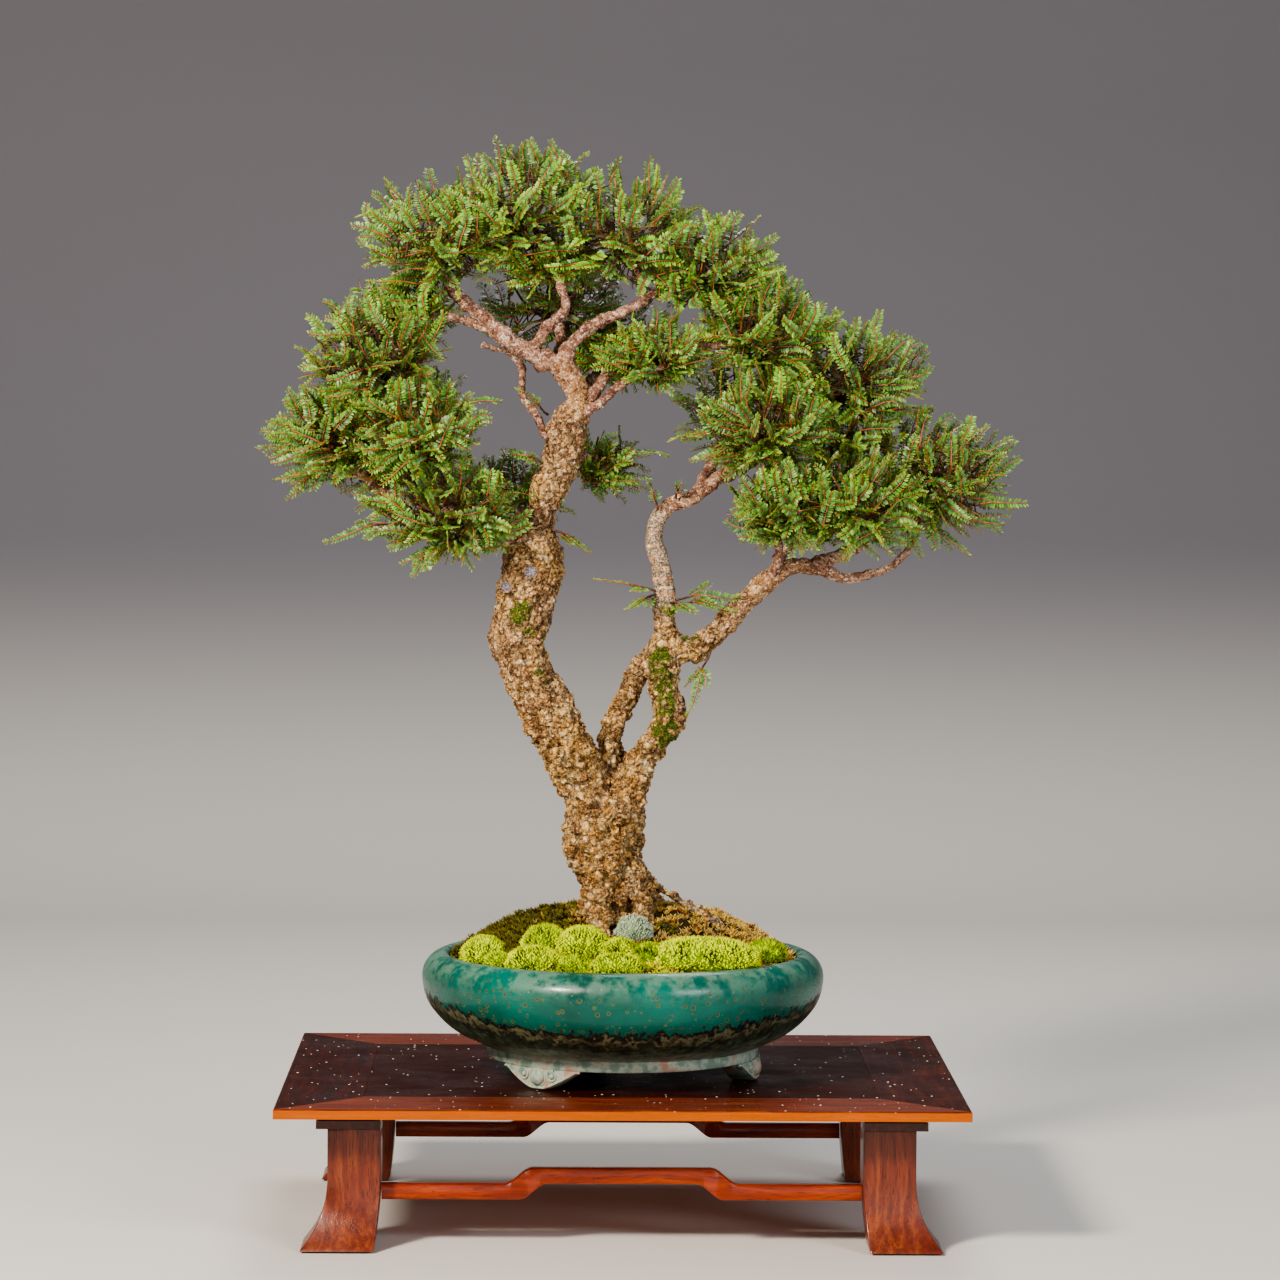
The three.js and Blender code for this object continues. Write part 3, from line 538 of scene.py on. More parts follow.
def mossFinish(name):
    shades, pale, lit = mosses[name]
    material, tree, to, place = newMaterial(name, 0.8, specular=0.2)
    tone, tip = valuesOf(tree, "tone", "tip")
    cast = clouds(tree, place, 90.0, 3.0, 2.4)
    both = plus(tree, times(tree, tone, 0.55), times(tree, cast, 0.45))
    shade = ramp(tree, both, [i / (len(shades) - 1) * 0.8 + 0.1 for i in range(len(shades))], shades)
    shade = tinted(tree, shade, pale, calc(tree, "POWER", (tip, 2.0)), lit)
    cover(tree, to, shade, noiseAt(tree, place, 1400.0, 3.0)["Fac"], 0.7, 0.0006)
    return material


# The pot's glaze, which thins to bare clay on the ring and the feet

glaze = {
    "deep": "#024036",
    "clear": "#04695a",
    "haze": "#6e907a",
    "spot": "#3a3626",
    "rim": "#5e6e44",
    "rust": "#6a4636",
    "band": ["#7e8a76", "#465644", "#18221a", "#6c6c50", "#12120e"],  # upward from the ring
    "soot": "#12140e",
    "clay": ["#74887a", "#a2ae9e", "#a4826f"],
    "bareBelow": 29.0,  # heights over the pot's foot
    "bandLow": 20.0,
    "bandTop": 54.0,
    "bandHigh": 60.0,
    "hazeAbove": 92.0,
    "teeth": 14.0,  # how far the band's upper edge drips
    "climb": 19.0,  # how much higher it stands at the sides
    "width": 165.0,
    "relief": 0.0008,
}


def glazeFinish():
    material, tree, to, place = newMaterial("glazeFinish", 0.3, coat=0.1, specular=0.34)
    axes = put(tree, "SeparateXYZ", {0: place}).outputs
    level = times(tree, minus(tree, axes["Z"], float(potFoot[2])), 1 / mm)
    aside = times(tree, minus(tree, axes["X"], float(potFoot[0])), 1 / (glaze["width"] * mm))
    broad = clouds(tree, place, 14.0, 5.0, 2.4)
    ragged = clouds(tree, place, 75.0, 7.0, 3.0)
    cloudy = clouds(tree, place, 32.0, 6.0, 2.8)
    shade = blend(tree, broad, colour(glaze["deep"]), colour(glaze["clear"]))
    # Pale haze under the lip
    nearLip = rangeOf(tree, level, glaze["hazeAbove"] - 16, glaze["hazeAbove"] + 12)
    patchy = plus(tree, times(tree, cloudy, 0.45), times(tree, ragged, 0.55))
    hazy = times(tree, rangeOf(tree, patchy, 0.3, 0.66), nearLip)
    shade = tinted(tree, shade, glaze["haze"], hazy, 0.55)
    # Dark spots with green rims, and small rusty flecks
    top = glaze["bandTop"]
    middle = times(tree, rangeOf(tree, level, top - 2, top + 6), rangeOf(tree, level, 98.0, 84.0, 0.25, 1.0))
    iron = use(tree, spots, place, Scale=170.0, Size=0.4, Share=0.8)
    flecks = use(tree, spots, place, Scale=420.0, Size=0.36, Share=0.4)["Spot"]
    shade = tinted(tree, shade, glaze["spot"], iron["Spot"], 0.6, middle)
    shade = tinted(tree, shade, glaze["rim"], iron["Rim"], 0.5, middle)
    rusty = times(tree, rangeOf(tree, broad, 0.4, 0.7), rangeOf(tree, ragged, 0.4, 0.6))
    shade = tinted(tree, shade, glaze["rust"], flecks, rusty, 0.6)
    # The burnt band with its dripping upper edge
    teeth = clouds(tree, stretched(tree, place, 1.0, 1.0, 0.35), 130.0, 7.0, 2.6)
    edge = plus(tree, level, swing(tree, teeth, glaze["teeth"]), times(tree, aside, aside, -glaze["climb"]))
    burnt = rangeOf(tree, edge, top + 1.5, top - 1.5)
    low, high = glaze["bandLow"], glaze["bandHigh"]
    upBand = put(tree, "MapRange", {0: edge, 1: low, 2: high}).outputs[0]
    heights = (24, 35, top - 12, top - 7, top - 3)
    dark = ramp(tree, upBand, [(z - low) / (high - low) for z in heights], glaze["band"])
    sooty = times(tree, rangeOf(tree, ragged, 0.45, 0.8), rangeOf(tree, edge, 34.0, 42.0, 0.1, 0.6))
    shade = blend(tree, burnt, shade, tinted(tree, dark, glaze["soot"], sooty))
    # Bare clay
    bare = rangeOf(tree, plus(tree, level, times(tree, ragged, 2.0)),
                   glaze["bareBelow"] + 2.2, glaze["bareBelow"] - 0.5)
    shade = blend(tree, bare, shade, ramp(tree, patchy, (0.3, 0.5, 0.75), glaze["clay"]))
    dull = plus(tree, times(tree, hazy, 0.2), 0.27, times(tree, burnt, 0.25), times(tree, bare, 0.3),
                clamp=True)
    tree.links.new(dull, to["Roughness"])
    ripple = clouds(tree, place, 45.0, 2.0)
    uneven = minus(tree, times(tree, ripple, 0.5), times(tree, iron["Spot"], 0.5))
    uneven = plus(tree, uneven, times(tree, ragged, bare, 0.6))
    cover(tree, to, shade, uneven, 0.35, glaze["relief"])
    return material


# The stand's wood

rosewood = {
    # Copies of one rosewood in lighter and darker shades: the dark panel copy is also painted shade on the
    # side rails and the battens, and the bright stretcher copy is painted light
    "panel": ["#220a05", "#45180b", "#743212"],  # dark, middle and light
    "rail": ["#3a1408", "#722c12", "#a8541f"],
    "leg": ["#43180c", "#6e2f1c", "#9c542c"],
    "stretcher": ["#531a06", "#8c380e", "#b86020"],
    "pore": "#160603",
    # the colour of the painted highlight on the edges
    "edge": "#c4641a",
    "shadow": "#1c0705",
    "dust": "#f2ece0",
    "gloss": 0.3,
    "coat": 0.15,
    "streaks": 190.0,
    "pores": 1100.0,
    "specks": 190.0,
    "relief": 0.0002,
}


def woodFinish(name, turn, offset, shades, dustAndPaintedLight=0.0, paintedTopShade=0.0, shine=0.4):
    # turn is the rotation that lays the grain along the piece
    coat = 0.0 if dustAndPaintedLight else rosewood["coat"]
    material, tree, to, place = newMaterial(name, rosewood["gloss"], coat, shine)
    shades = rosewood[shades]
    laid = put(tree, "Mapping", {"Vector": place, "Rotation": turn,
                                 "Location": (offset, offset * 0.7, offset * 1.3)}).outputs[0]
    marks = use(tree, grain, laid, Streaks=rosewood["streaks"], Stretch=0.05, Pores=rosewood["pores"])
    shade = ramp(tree, marks["Streak"], (0.2, 0.5, 0.82), shades)
    drift = rangeOf(tree, marks["Drift"], 0.4, 0.7, 0.0, 0.5)
    shade = blend(tree, drift, shade, colour(shades[2]), "SOFT_LIGHT")
    shade = tinted(tree, shade, rosewood["pore"], marks["Pore"], 0.6)
    if dustAndPaintedLight:
        # Painted shade darkens the faces turned up, which also get dust specks, and a painted highlight
        # brightens the edges
        facing = put(tree, "SeparateXYZ", {0: put(tree, "NewGeometry").outputs["Normal"]}).outputs["Z"]
        upward = rangeOf(tree, facing, 0.6, 0.95)
        shade = tinted(tree, shade, rosewood["shadow"], upward, paintedTopShade)
        shade = tinted(tree, shade, rosewood["edge"], rangeOf(tree, facing, 0.75, 0.3, 0.0, 0.6))
        flat = stretched(tree, place, 1.0, 0.5, 1.0)
        specks = use(tree, spots, flat, Scale=rosewood["specks"], Size=0.18, Share=0.36)["Spot"]
        shade = tinted(tree, shade, rosewood["dust"], specks, dustAndPaintedLight, upward)
    smear = clouds(tree, place, 22.0, 3.0, 1.5)
    dull = rangeOf(tree, smear, 0.1, 0.9, rosewood["gloss"] - 0.06, rosewood["gloss"] + 0.12)
    tree.links.new(dull, to["Roughness"])
    depth = plus(tree, times(tree, marks["Pore"], -1.0), times(tree, marks["Streak"], 0.5))
    cover(tree, to, shade, depth, 0.25, rosewood["relief"])
    return material


def crumbFinish(name, shades, scale, roughness):
    material, tree, to, place = newMaterial(name, roughness, specular=0.25)
    shade = ramp(tree, clouds(tree, place, scale, 6.0, 2.5), (0.2, 0.8), shades)
    crumb = put(tree, "TexVoronoi", {"Vector": place, "Scale": scale * 2.5}).outputs["Distance"]
    cover(tree, to, shade, crumb, 0.8, 0.001)
    return material


barkMaterial = barkFinish()
leafMaterial = leafFinish()
stemMaterial = stemFinish("stemFinish", foliage["stem"], 0.5)
twigMaterial = stemFinish("twigFinish", foliage["twig"], 0.8)
brightMoss, paleMoss, oliveMoss, rustMoss, redMoss = (mossFinish(name) for name in mosses)
glazeMaterial = glazeFinish()
# Painted shade on the tops and a painted highlight on the edges of the rails and the panel; painted shade on
# the side rails and battens, painted light on the stretchers
frontWood = woodFinish("frontWood", (0, 0, 0), 0.3, "rail", dustAndPaintedLight=0.9, paintedTopShade=0.1, shine=0.16)
sideShadedWood = woodFinish("sideShadedWood", (0, 0, quarter), 1.7, "panel", dustAndPaintedLight=0.9, paintedTopShade=0.35, shine=0.05)
battenShadedWood = woodFinish("battenShadedWood", (0, 0, quarter), 4.4, "panel")
legWood = woodFinish("legWood", (0, quarter, 0), 3.1, "leg")
stretcherLitWood = woodFinish("stretcherLitWood", (0, 0, 0), 2.2, "stretcher")
panelWood = woodFinish("panelWood", (0, 0, 0), 5.2, "panel", dustAndPaintedLight=0.9, paintedTopShade=0.6, shine=0.04)
soilMaterial = crumbFinish("soilFinish", ["#1d130c", "#4a3524"], 160.0, 0.95)
screenMaterial = crumbFinish("screenFinish", ["#141613", "#262923"], 500.0, 0.6)
feltMaterial = crumbFinish("feltFinish", ["#a8987c", "#cabb9e"], 700.0, 0.95)
print("finishes made:", len(bpy.data.materials))


# The wood: every limb as points of x, y, z and thickness

trunks = [
    [[-2, 4, 88, 70], [-3, 3, 112, 82], [-4, 0, 131, 74], [-7, -1, 152, 54], [-9, 0, 170, 52],
     [-15, 0, 190, 66], [-19, 0, 212, 64], [-15, 0, 236, 52]],
    [[-22, 0, 200, 46], [-34, -2, 243, 41], [-45, -5, 270, 46], [-58, -8, 296, 47], [-73, -10, 322, 44],
     [-85, -12, 348, 43], [-91, -12, 374, 46], [-86, -10, 400, 47], [-79, -7, 428, 54], [-77, -4, 448, 49],
     [-73, 0, 463, 27], [-71, 2, 477, 24], [-68, 3, 490, 29], [-62, 4, 504, 29], [-55, 4, 522, 33],
     [-49, 3, 548, 33], [-40, 2, 574, 23], [-49, 1, 593, 22], [-55, 0, 606, 20]],
    [[-4, -4, 205, 36], [6, -6, 245, 32], [15, -10, 272, 27], [30, -12, 290, 26], [38, -12, 306, 29],
     [34, -10, 330, 27], [32, -6, 350, 33], [36, -4, 370, 28]],
    [[-2, 10, 242, 26], [-12, 16, 274, 22], [-10, 19, 296, 19], [2, 18, 316, 18], [8, 13, 335, 16],
     [17, 6, 350, 17], [28, 0, 363, 20]],
    [[36, -4, 360, 24], [33, -4, 392, 18], [33, -3, 413, 18], [30, -2, 434, 18], [24, 0, 455, 14],
     [28, 2, 474, 15], [39, 2, 485, 13], [56, 0, 490, 13], [72, -2, 503, 11], [88, -6, 520, 9]],
    [[40, -4, 364, 26], [60, -6, 363, 22], [81, -8, 382, 20], [99, -8, 402, 18], [121, -8, 421, 17],
     [138, -10, 433, 15], [163, -10, 432, 13], [184, -8, 424, 9], [206, -6, 427, 8], [228, -4, 436, 7],
     [246, -2, 462, 6], [243, -4, 498, 5]],
]
leftTrunk, backStem, greyStem = 1, 3, 4  # their places in the list above
roots = [
    [[-19, -14, 188, 24], [-22, -28, 166, 25], [-22, -40, 146, 22], [-17, -52, 129, 16],
     [-13, -60, 114, 11]],
    [[-24, 0, 166, 20], [-31, -8, 147, 16], [-38, -17, 132, 12], [-45, -24, 120, 8]],
    [[4, -10, 182, 24], [12, -22, 162, 23], [17, -31, 143, 20], [20, -40, 126, 16]],
    [[12, 2, 174, 17], [30, -2, 160, 12], [42, -9, 152, 11], [56, -10, 145, 10], [70, -17, 137, 9],
     [86, -20, 126, 6]],
    [[8, 20, 162, 23], [24, 38, 146, 16], [38, 58, 136, 10]],
    [[-14, 20, 162, 22], [-24, 40, 142, 15], [-30, 60, 132, 9]],
]
branches = [
    [[-78, -8, 446, 22], [-107, -14, 456, 16], [-141, -22, 454, 13], [-168, -24, 466, 11],
     [-190, -20, 482, 9], [-222, -12, 507, 8], [-254, -4, 535, 5]],
    [[-136, -20, 452, 9], [-150, -30, 474, 8], [-152, -36, 482, 5]],
    [[-140, -20, 456, 9], [-154, -26, 500, 8], [-162, -32, 530, 6], [-180, -38, 550, 5]],
    [[-164, -22, 464, 9], [-188, -22, 515, 7], [-203, -24, 560, 6], [-214, -28, 598, 5]],
    [[-66, 0, 540, 9], [-72, 8, 549, 7], [-78, 14, 562, 6], [-88, 16, 574, 6], [-88, 22, 592, 6],
     [-98, 28, 612, 5], [-122, 34, 618, 4]],
    [[-55, 0, 600, 20], [-82, -4, 612, 16], [-117, -6, 638, 13], [-142, -4, 660, 10], [-156, 0, 682, 8],
     [-162, 4, 706, 5]],
    [[-112, -6, 632, 9], [-150, 12, 642, 7], [-184, 26, 642, 5]],
    [[-84, -4, 610, 11], [-62, -4, 638, 9], [-52, -2, 654, 8], [-66, 0, 690, 6], [-84, 4, 716, 5]],
    [[-54, 0, 600, 17], [-48, 0, 619, 11], [-26, 0, 636, 10], [-1, 0, 648, 9], [22, 2, 662, 8],
     [38, 4, 676, 7], [62, 6, 690, 5]],
    [[16, 2, 656, 8], [8, 6, 682, 6], [0, 10, 704, 5]],
    [[-46, 2, 560, 14], [-24, 0, 582, 10], [-9, -4, 606, 10], [27, -8, 615, 9], [56, -10, 619, 8],
     [84, -14, 623, 7], [112, -16, 636, 5]],
    [[-44, 2, 556, 12], [-24, -6, 569, 8], [-6, -12, 585, 7], [13, -16, 595, 6], [38, -18, 605, 4]],
    [[84, -6, 514, 9], [100, -24, 532, 7], [114, -38, 552, 5]],
    [[70, -2, 500, 10], [118, 2, 528, 8], [162, 8, 568, 7], [190, 12, 594, 5]],
    [[160, -10, 434, 12], [182, -14, 444, 11], [200, -22, 456, 9], [198, -34, 480, 6], [194, -40, 492, 5]],
    [[116, -8, 418, 10], [129, -22, 436, 8], [127, -38, 458, 7], [132, -58, 486, 5]],
    [[-50, 6, 604, 12], [-58, 34, 634, 9], [-62, 66, 662, 6]],
    [[-126, -18, 455, 11], [-150, 22, 496, 8], [-184, 68, 555, 5]],
    [[-70, 4, 468, 13], [-86, 36, 476, 9], [-104, 72, 486, 6]],
    [[-44, 8, 562, 13], [-32, 44, 584, 9], [-14, 78, 607, 6]],
    [[56, 4, 490, 10], [80, 42, 530, 8], [104, 82, 570, 5]],
    [[119, -2, 420, 10], [140, 36, 448, 8], [164, 74, 484, 5]],
    [[-52, 8, 526, 11], [-36, 24, 524, 8], [-20, 40, 522, 5]],
]
trunkForm = {
    "face": 1.5,  # size of the mesh's faces
    "knobs": 4.4,  # how far the swellings stand out
    "cell": 6.0,  # size of a plate of cork
    "plates": 1.2,  # how far the plates stand out
    "crumb": 2.9,  # size of a crumb on them
    "crumbs": 1.2,
    "grit": 1.0,
    "knot": 15.0,  # size of the burrs at the foot
    "knots": 3.6,
    "burred": (390, 250),  # heights between which the burrs grow
    "young": (22, 12),  # thicknesses between which the bark turns smooth
    "mossiness": 0.68,
    "lumps": [[8.6, -22, 174, 10.5], [16.3, -32, 140, 9.5], [-22.7, -33, 212, 5], [-39, -11, 195, 12],
              [-4, -32, 152, 6], [14, -24, 156, 9], [-6.5, -27, 227, 10], [-30, -18, 232, 9],
              [-35, -13, 212, 14], [-4, -26, 200, 9], [-22, -34, 176, 8], [-10, -30, 184, 7]],
    "scars": [[-80, -33, 428.5, 5.6], [-101, -31, 415.8, 5.2]],  # healed cuts on the left trunk
    "scarStems": [[[-80, -12, 428, 17], [-80, -32, 428.5, 15]],
                  [[-96, -14, 414, 16], [-101, -30, 415.8, 14]]],
    "mossy": [[-89, -34, 394, 13], [-80, -34, 378, 7], [36, -24, 292, 17], [31, -26, 316, 16],
              [30, -26, 336, 17], [28, -26, 356, 15], [22, -22, 376, 11], [54, -14, 374, 9],
              [36, -12, 396, 8], [-72, -34, 344, 5]],
}


def ball(pile, x, y, z, radius):
    shape = bmesh.new()
    bmesh.ops.create_icosphere(shape, subdivisions=3, radius=radius)
    points = [[v.co.x + x, v.co.y + y, v.co.z + z] for v in shape.verts]
    faces = [[v.index for v in f.verts] for f in shape.faces]
    shape.free()
    pile.add(points, [faces])


def remeshed(pile, voxel):
    # One skin round everything in the pile, with its points, faces and normals
    source = pile.mesh("source", 1, 0)
    holder = bpy.data.objects.new("source", source)
    intoScene(holder)
    change = holder.modifiers.new("skin", "REMESH")
    change.mode = "VOXEL"
    change.voxel_size = voxel
    even = holder.modifiers.new("even", "SMOOTH")
    even.iterations = 3
    bpy.context.view_layer.update()
    made = bpy.data.meshes.new_from_object(holder.evaluated_get(bpy.context.evaluated_depsgraph_get()))
    points = np.empty(len(made.vertices) * 3)
    made.vertices.foreach_get("co", points)
    normals = np.empty(len(made.vertices) * 3)
    made.vertices.foreach_get("normal", normals)
    faces = np.array([list(f.vertices) for f in made.polygons if len(f.vertices) == 4])
    threes = np.array([list(f.vertices) for f in made.polygons if len(f.vertices) == 3]).reshape(-1, 3)
    bpy.data.objects.remove(holder)
    bpy.data.meshes.remove(source)
    bpy.data.meshes.remove(made)
    return points.reshape(-1, 3), normals.reshape(-1, 3), [faces, threes]


def near(points, places):
    # How close points come to any of the balls x, y, z and radius, from 0 outside to 1 inside
    most = np.zeros(len(points))
    for x, y, z, radius in places:
        away = np.linalg.norm(points - [x, y, z], axis=1)
        most = np.maximum(most, smooth(1.25, 0.55, away / radius))
    return most


def makeTrunk():
    rough = Pile()
    centres, youths, silvers = [], [], []
    for number, limb in enumerate(trunks):
        phase = number * 1.7
        knobby = 0.07 if limb[0][3] > 24 else 0.05

        def ripple(t, turn):
            return (1 + knobby * np.sin(3 * turn + 19 * t + phase) * np.cos(17 * t + turn)
                    + 0.5 * knobby * np.sin(5 * turn - 31 * t))

        line, shape = limbTube(limb, 4, 24, ripple)
        rough.add(*shape)
        centres.extend(line[:, :3])
        youth = smooth(*trunkForm["young"], line[:, 3]) * (number != backStem) * 0.85
        if number == leftTrunk:
            youth = smooth(530, 612, line[:, 2]) * 0.75
        youths.extend(youth)
        silvers.extend(smooth(378, 398, line[:, 2]) * smooth(486, 470, line[:, 2]) * (number == greyStem))
    for limb in roots:
        line, shape = limbTube(limb, 4, 16, lambda t, turn: 1 + 0.1 * np.sin(2 * turn + 9 * t))
        rough.add(*shape)
        centres.extend(line[:, :3])
        youths.extend(np.zeros(len(line)))
        silvers.extend(smooth(34, 50, line[:, 0]) * smooth(20, 0, line[:, 1]) * 0.8)
    for stem in trunkForm["scarStems"]:
        rough.add(*limbTube(stem, 4, 20)[1])
    for lump in trunkForm["lumps"]:
        ball(rough, *lump)
    points, normals, faces = remeshed(rough, trunkForm["face"])

    # What the nearest limb says about each point
    nearest = neighbours(centres)
    closest = [nearest.find(p)[1] for p in points]
    youth = np.array(youths)[closest]
    silver = np.array(silvers)[closest]
    scar = near(points, trunkForm["scars"]) * (points[:, 1] < -28)
    callus = near(points, [[x, y, z, radius * 1.5] for x, y, z, radius in trunkForm["scars"]]) - scar

    # Swellings, burrs, plates of cork and crumbs, all pushed out along the normals
    crack = np.empty(len(points))
    shift = np.empty(len(points))
    for i, (x, y, z) in enumerate(points):
        place = Vector((x, y, z))
        warp = noise.noise_vector(place / 9) * 3 + noise.noise_vector(place / 3) * 1.2
        plate = noise.voronoi((place + warp) / trunkForm["cell"])[0]
        away, seeds = noise.voronoi((place + warp) / trunkForm["crumb"])
        knot = noise.voronoi((place + warp * 1.5) / trunkForm["knot"])[0]
        between = min(1, 2.6 * (knot[1] - knot[0]))
        burred = (0.25 + 0.75 * float(smooth(*trunkForm["burred"], z))) * (1 - youth[i])
        crack[i] = min(plate[1] - plate[0], 0.1 + between + 1 - burred)
        big = noise.noise(place / 26) + 0.5 * noise.noise(place / 12)
        small = noise.noise(place / 3.2) + 0.6 * noise.noise(place / 1.6)
        crumb = min(1, 3 * (away[1] - away[0])) * (0.35 + 0.65 * noise.cell(seeds[0] * 17.3))
        fine = trunkForm["grit"] * small + 1.6 * noise.noise(place / 8) + trunkForm["crumbs"] * crumb
        shift[i] = trunkForm["knobs"] * big * (1 - youth[i])
        shift[i] += fine * (1 - 0.55 * youth[i]) * (1 - 0.75 * silver[i])
        shift[i] += trunkForm["knots"] * burred * (between - 0.7)
    plates = smooth(0.0, 0.22, crack)
    corky = 1 - 0.65 * youth
    shift += trunkForm["plates"] * (plates - 0.85) * corky * (1 - scar) * (1 - silver)
    shift = shift * (1 - 0.8 * scar) + 1.6 * np.clip(callus, 0, 1) - 1.0 * scar
    points = points + normals * shift[:, None]
    trunk = Pile()
    trunk.add(points, faces, crack=np.clip(crack + 0.5 * youth, 0, 1), youth=youth, scar=scar, silver=silver,
              mossy=near(points, trunkForm["mossy"]) * trunkForm["mossiness"])
    made = trunk.piece("trunk", [barkMaterial])
    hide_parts("tree")


def makeBranches():
    count = 10  # points round a branch
    twigs = Pile()
    for number, limb in enumerate(branches):
        line = throughPoints(limb, 2.4)
        phase = number * 2.3
        line[:, :3] += [noise.noise_vector(Vector(place) / 16 + Vector((number, 0, 0))) * 2.2
                        for place in line[:, :3]]
        chance = np.random.default_rng(number)
        step = np.arange(len(line))
        knots = 0.3 * np.maximum(0, np.sin(step * 0.37 + phase)) ** 9
        radii = line[:, 3] / 2 * (1 + 0.08 * np.sin(step * 1.3 + phase) + knots)
        rough = chance.normal(0, 0.1, (len(line), count))
        points, faces = tube(line[:, :3], radii, count, lambda t, turn: (
            1 + 0.06 * np.sin(3 * turn + 40 * t + phase) + rough))
        # The tube's two end points come last
        youth = np.append(np.repeat(smooth(26, 16, line[:, 3]), count), [1, 1])
        twigs.add(points, faces, crack=1, youth=youth)
    made = twigs.piece("branches", [barkMaterial])
    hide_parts("tree")


makeTrunk()
makeBranches()
print("wood built")


# The foliage: pads of leafy shoots

pads = {
    "apex_left": ([-160, 2, 712], [72, 62, 60], [-0.45, 0, 0.85]),
    "apex_mid": ([-88, 2, 740], [68, 64, 66], [-0.05, 0, 1]),
    "apex_right": ([-2, 4, 718], [72, 64, 64], [0.2, 0, 1]),
    "apex_far_right": ([76, 4, 686], [62, 58, 56], [0.45, 0, 0.85]),
    "upper_left": ([-190, 34, 648], [54, 48, 42], [-0.7, 0.4, 0.6]),
    "left_top": ([-214, -26, 612], [66, 54, 60], [-0.45, -0.1, 0.85]),
    "left_outer": ([-252, -4, 548], [56, 52, 54], [-0.8, 0, 0.5]),
    "left_mid": ([-176, -40, 552], [62, 52, 52], [-0.3, -0.3, 0.85]),
    "left_low": ([-150, -40, 482], [72, 56, 50], [-0.35, -0.75, 0.3]),
    "mid_right": ([116, -12, 636], [62, 56, 54], [0.3, -0.1, 0.9]),
    "right_top": ([194, 10, 598], [70, 60, 56], [0.45, 0, 0.85]),
    "right_mid": ([118, -38, 558], [66, 54, 56], [0, -0.35, 0.9]),
    "right_outer": ([270, -4, 516], [68, 56, 62], [0.75, 0, 0.55]),
    "right_low": ([194, -34, 496], [70, 54, 50], [0.3, -0.3, 0.85]),
    "right_low_left": ([132, -52, 490], [50, 46, 44], [-0.2, -0.5, 0.7]),
    "centre_high": ([26, -4, 618], [52, 46, 38], [0.1, -0.2, 0.9]),
    "centre_low": ([-16, 44, 521], [42, 38, 34], [0.6, 0.3, 0.6]),
    "back_top": ([-62, 80, 660], [72, 58, 58], [0, 0.6, 0.8]),
    "back_left": ([-196, 84, 574], [60, 54, 54], [-0.4, 0.55, 0.7]),
    "back_low_left": ([-106, 78, 492], [62, 54, 48], [-0.4, 0.7, 0.4]),
    "back_mid": ([-14, 96, 622], [56, 54, 44], [0, 0.7, 0.7]),
    "back_right": ([108, 86, 574], [70, 58, 56], [0.3, 0.6, 0.75]),
    "back_low_right": ([168, 78, 494], [64, 54, 48], [0.5, 0.65, 0.4]),
}
fills = {  # small pads that close gaps in the node that they stand for
    "fill_right": ("right_top", [192, -6, 548], [48, 42, 36], [0.3, -0.2, 0.9]),
    "fill_apex": ("apex_mid", [-68, 4, 692], [50, 42, 30], [0, -0.3, 0.9]),
    "fill_left": ("left_mid", [-208, -8, 520], [48, 40, 34], [-0.7, 0, 0.6]),
}
shootForm = {
    "twigs": 12,  # in a pad
    "twig": (3.4, 2.4, 1.4),  # thickness of a twig from base to tip, and of one from it to a shoot
    "link": (1.6, 1.4, 1.2),
    "stem": (0.85, 0.35),  # radius of a shoot's stem
    "shells": [(0.98, 108), (0.8, 50), (0.58, 24)],  # where shoots end, as a share of the pad, and how many
    "loose": {"centre_low": 0.42, "back": 0.66, "fill": 0.4},  # pads with a smaller share of the shoots
    "shortest": 27,  # shoots
    "longest": 48,
    "uneven": 0.3,  # how much a pad swells and sinks from a plain ellipsoid
    "spacing": 2.5,  # between two leaves on one side of a shoot
    "leaf": (5.4, 2.2),  # length and width
    "sway": 0.22,
    "base": 80,  # degrees between leaf and shoot, at the shoot's base and at its tip
    "end": 46,
    "twist": 34,
    "droop": 0.16,
}


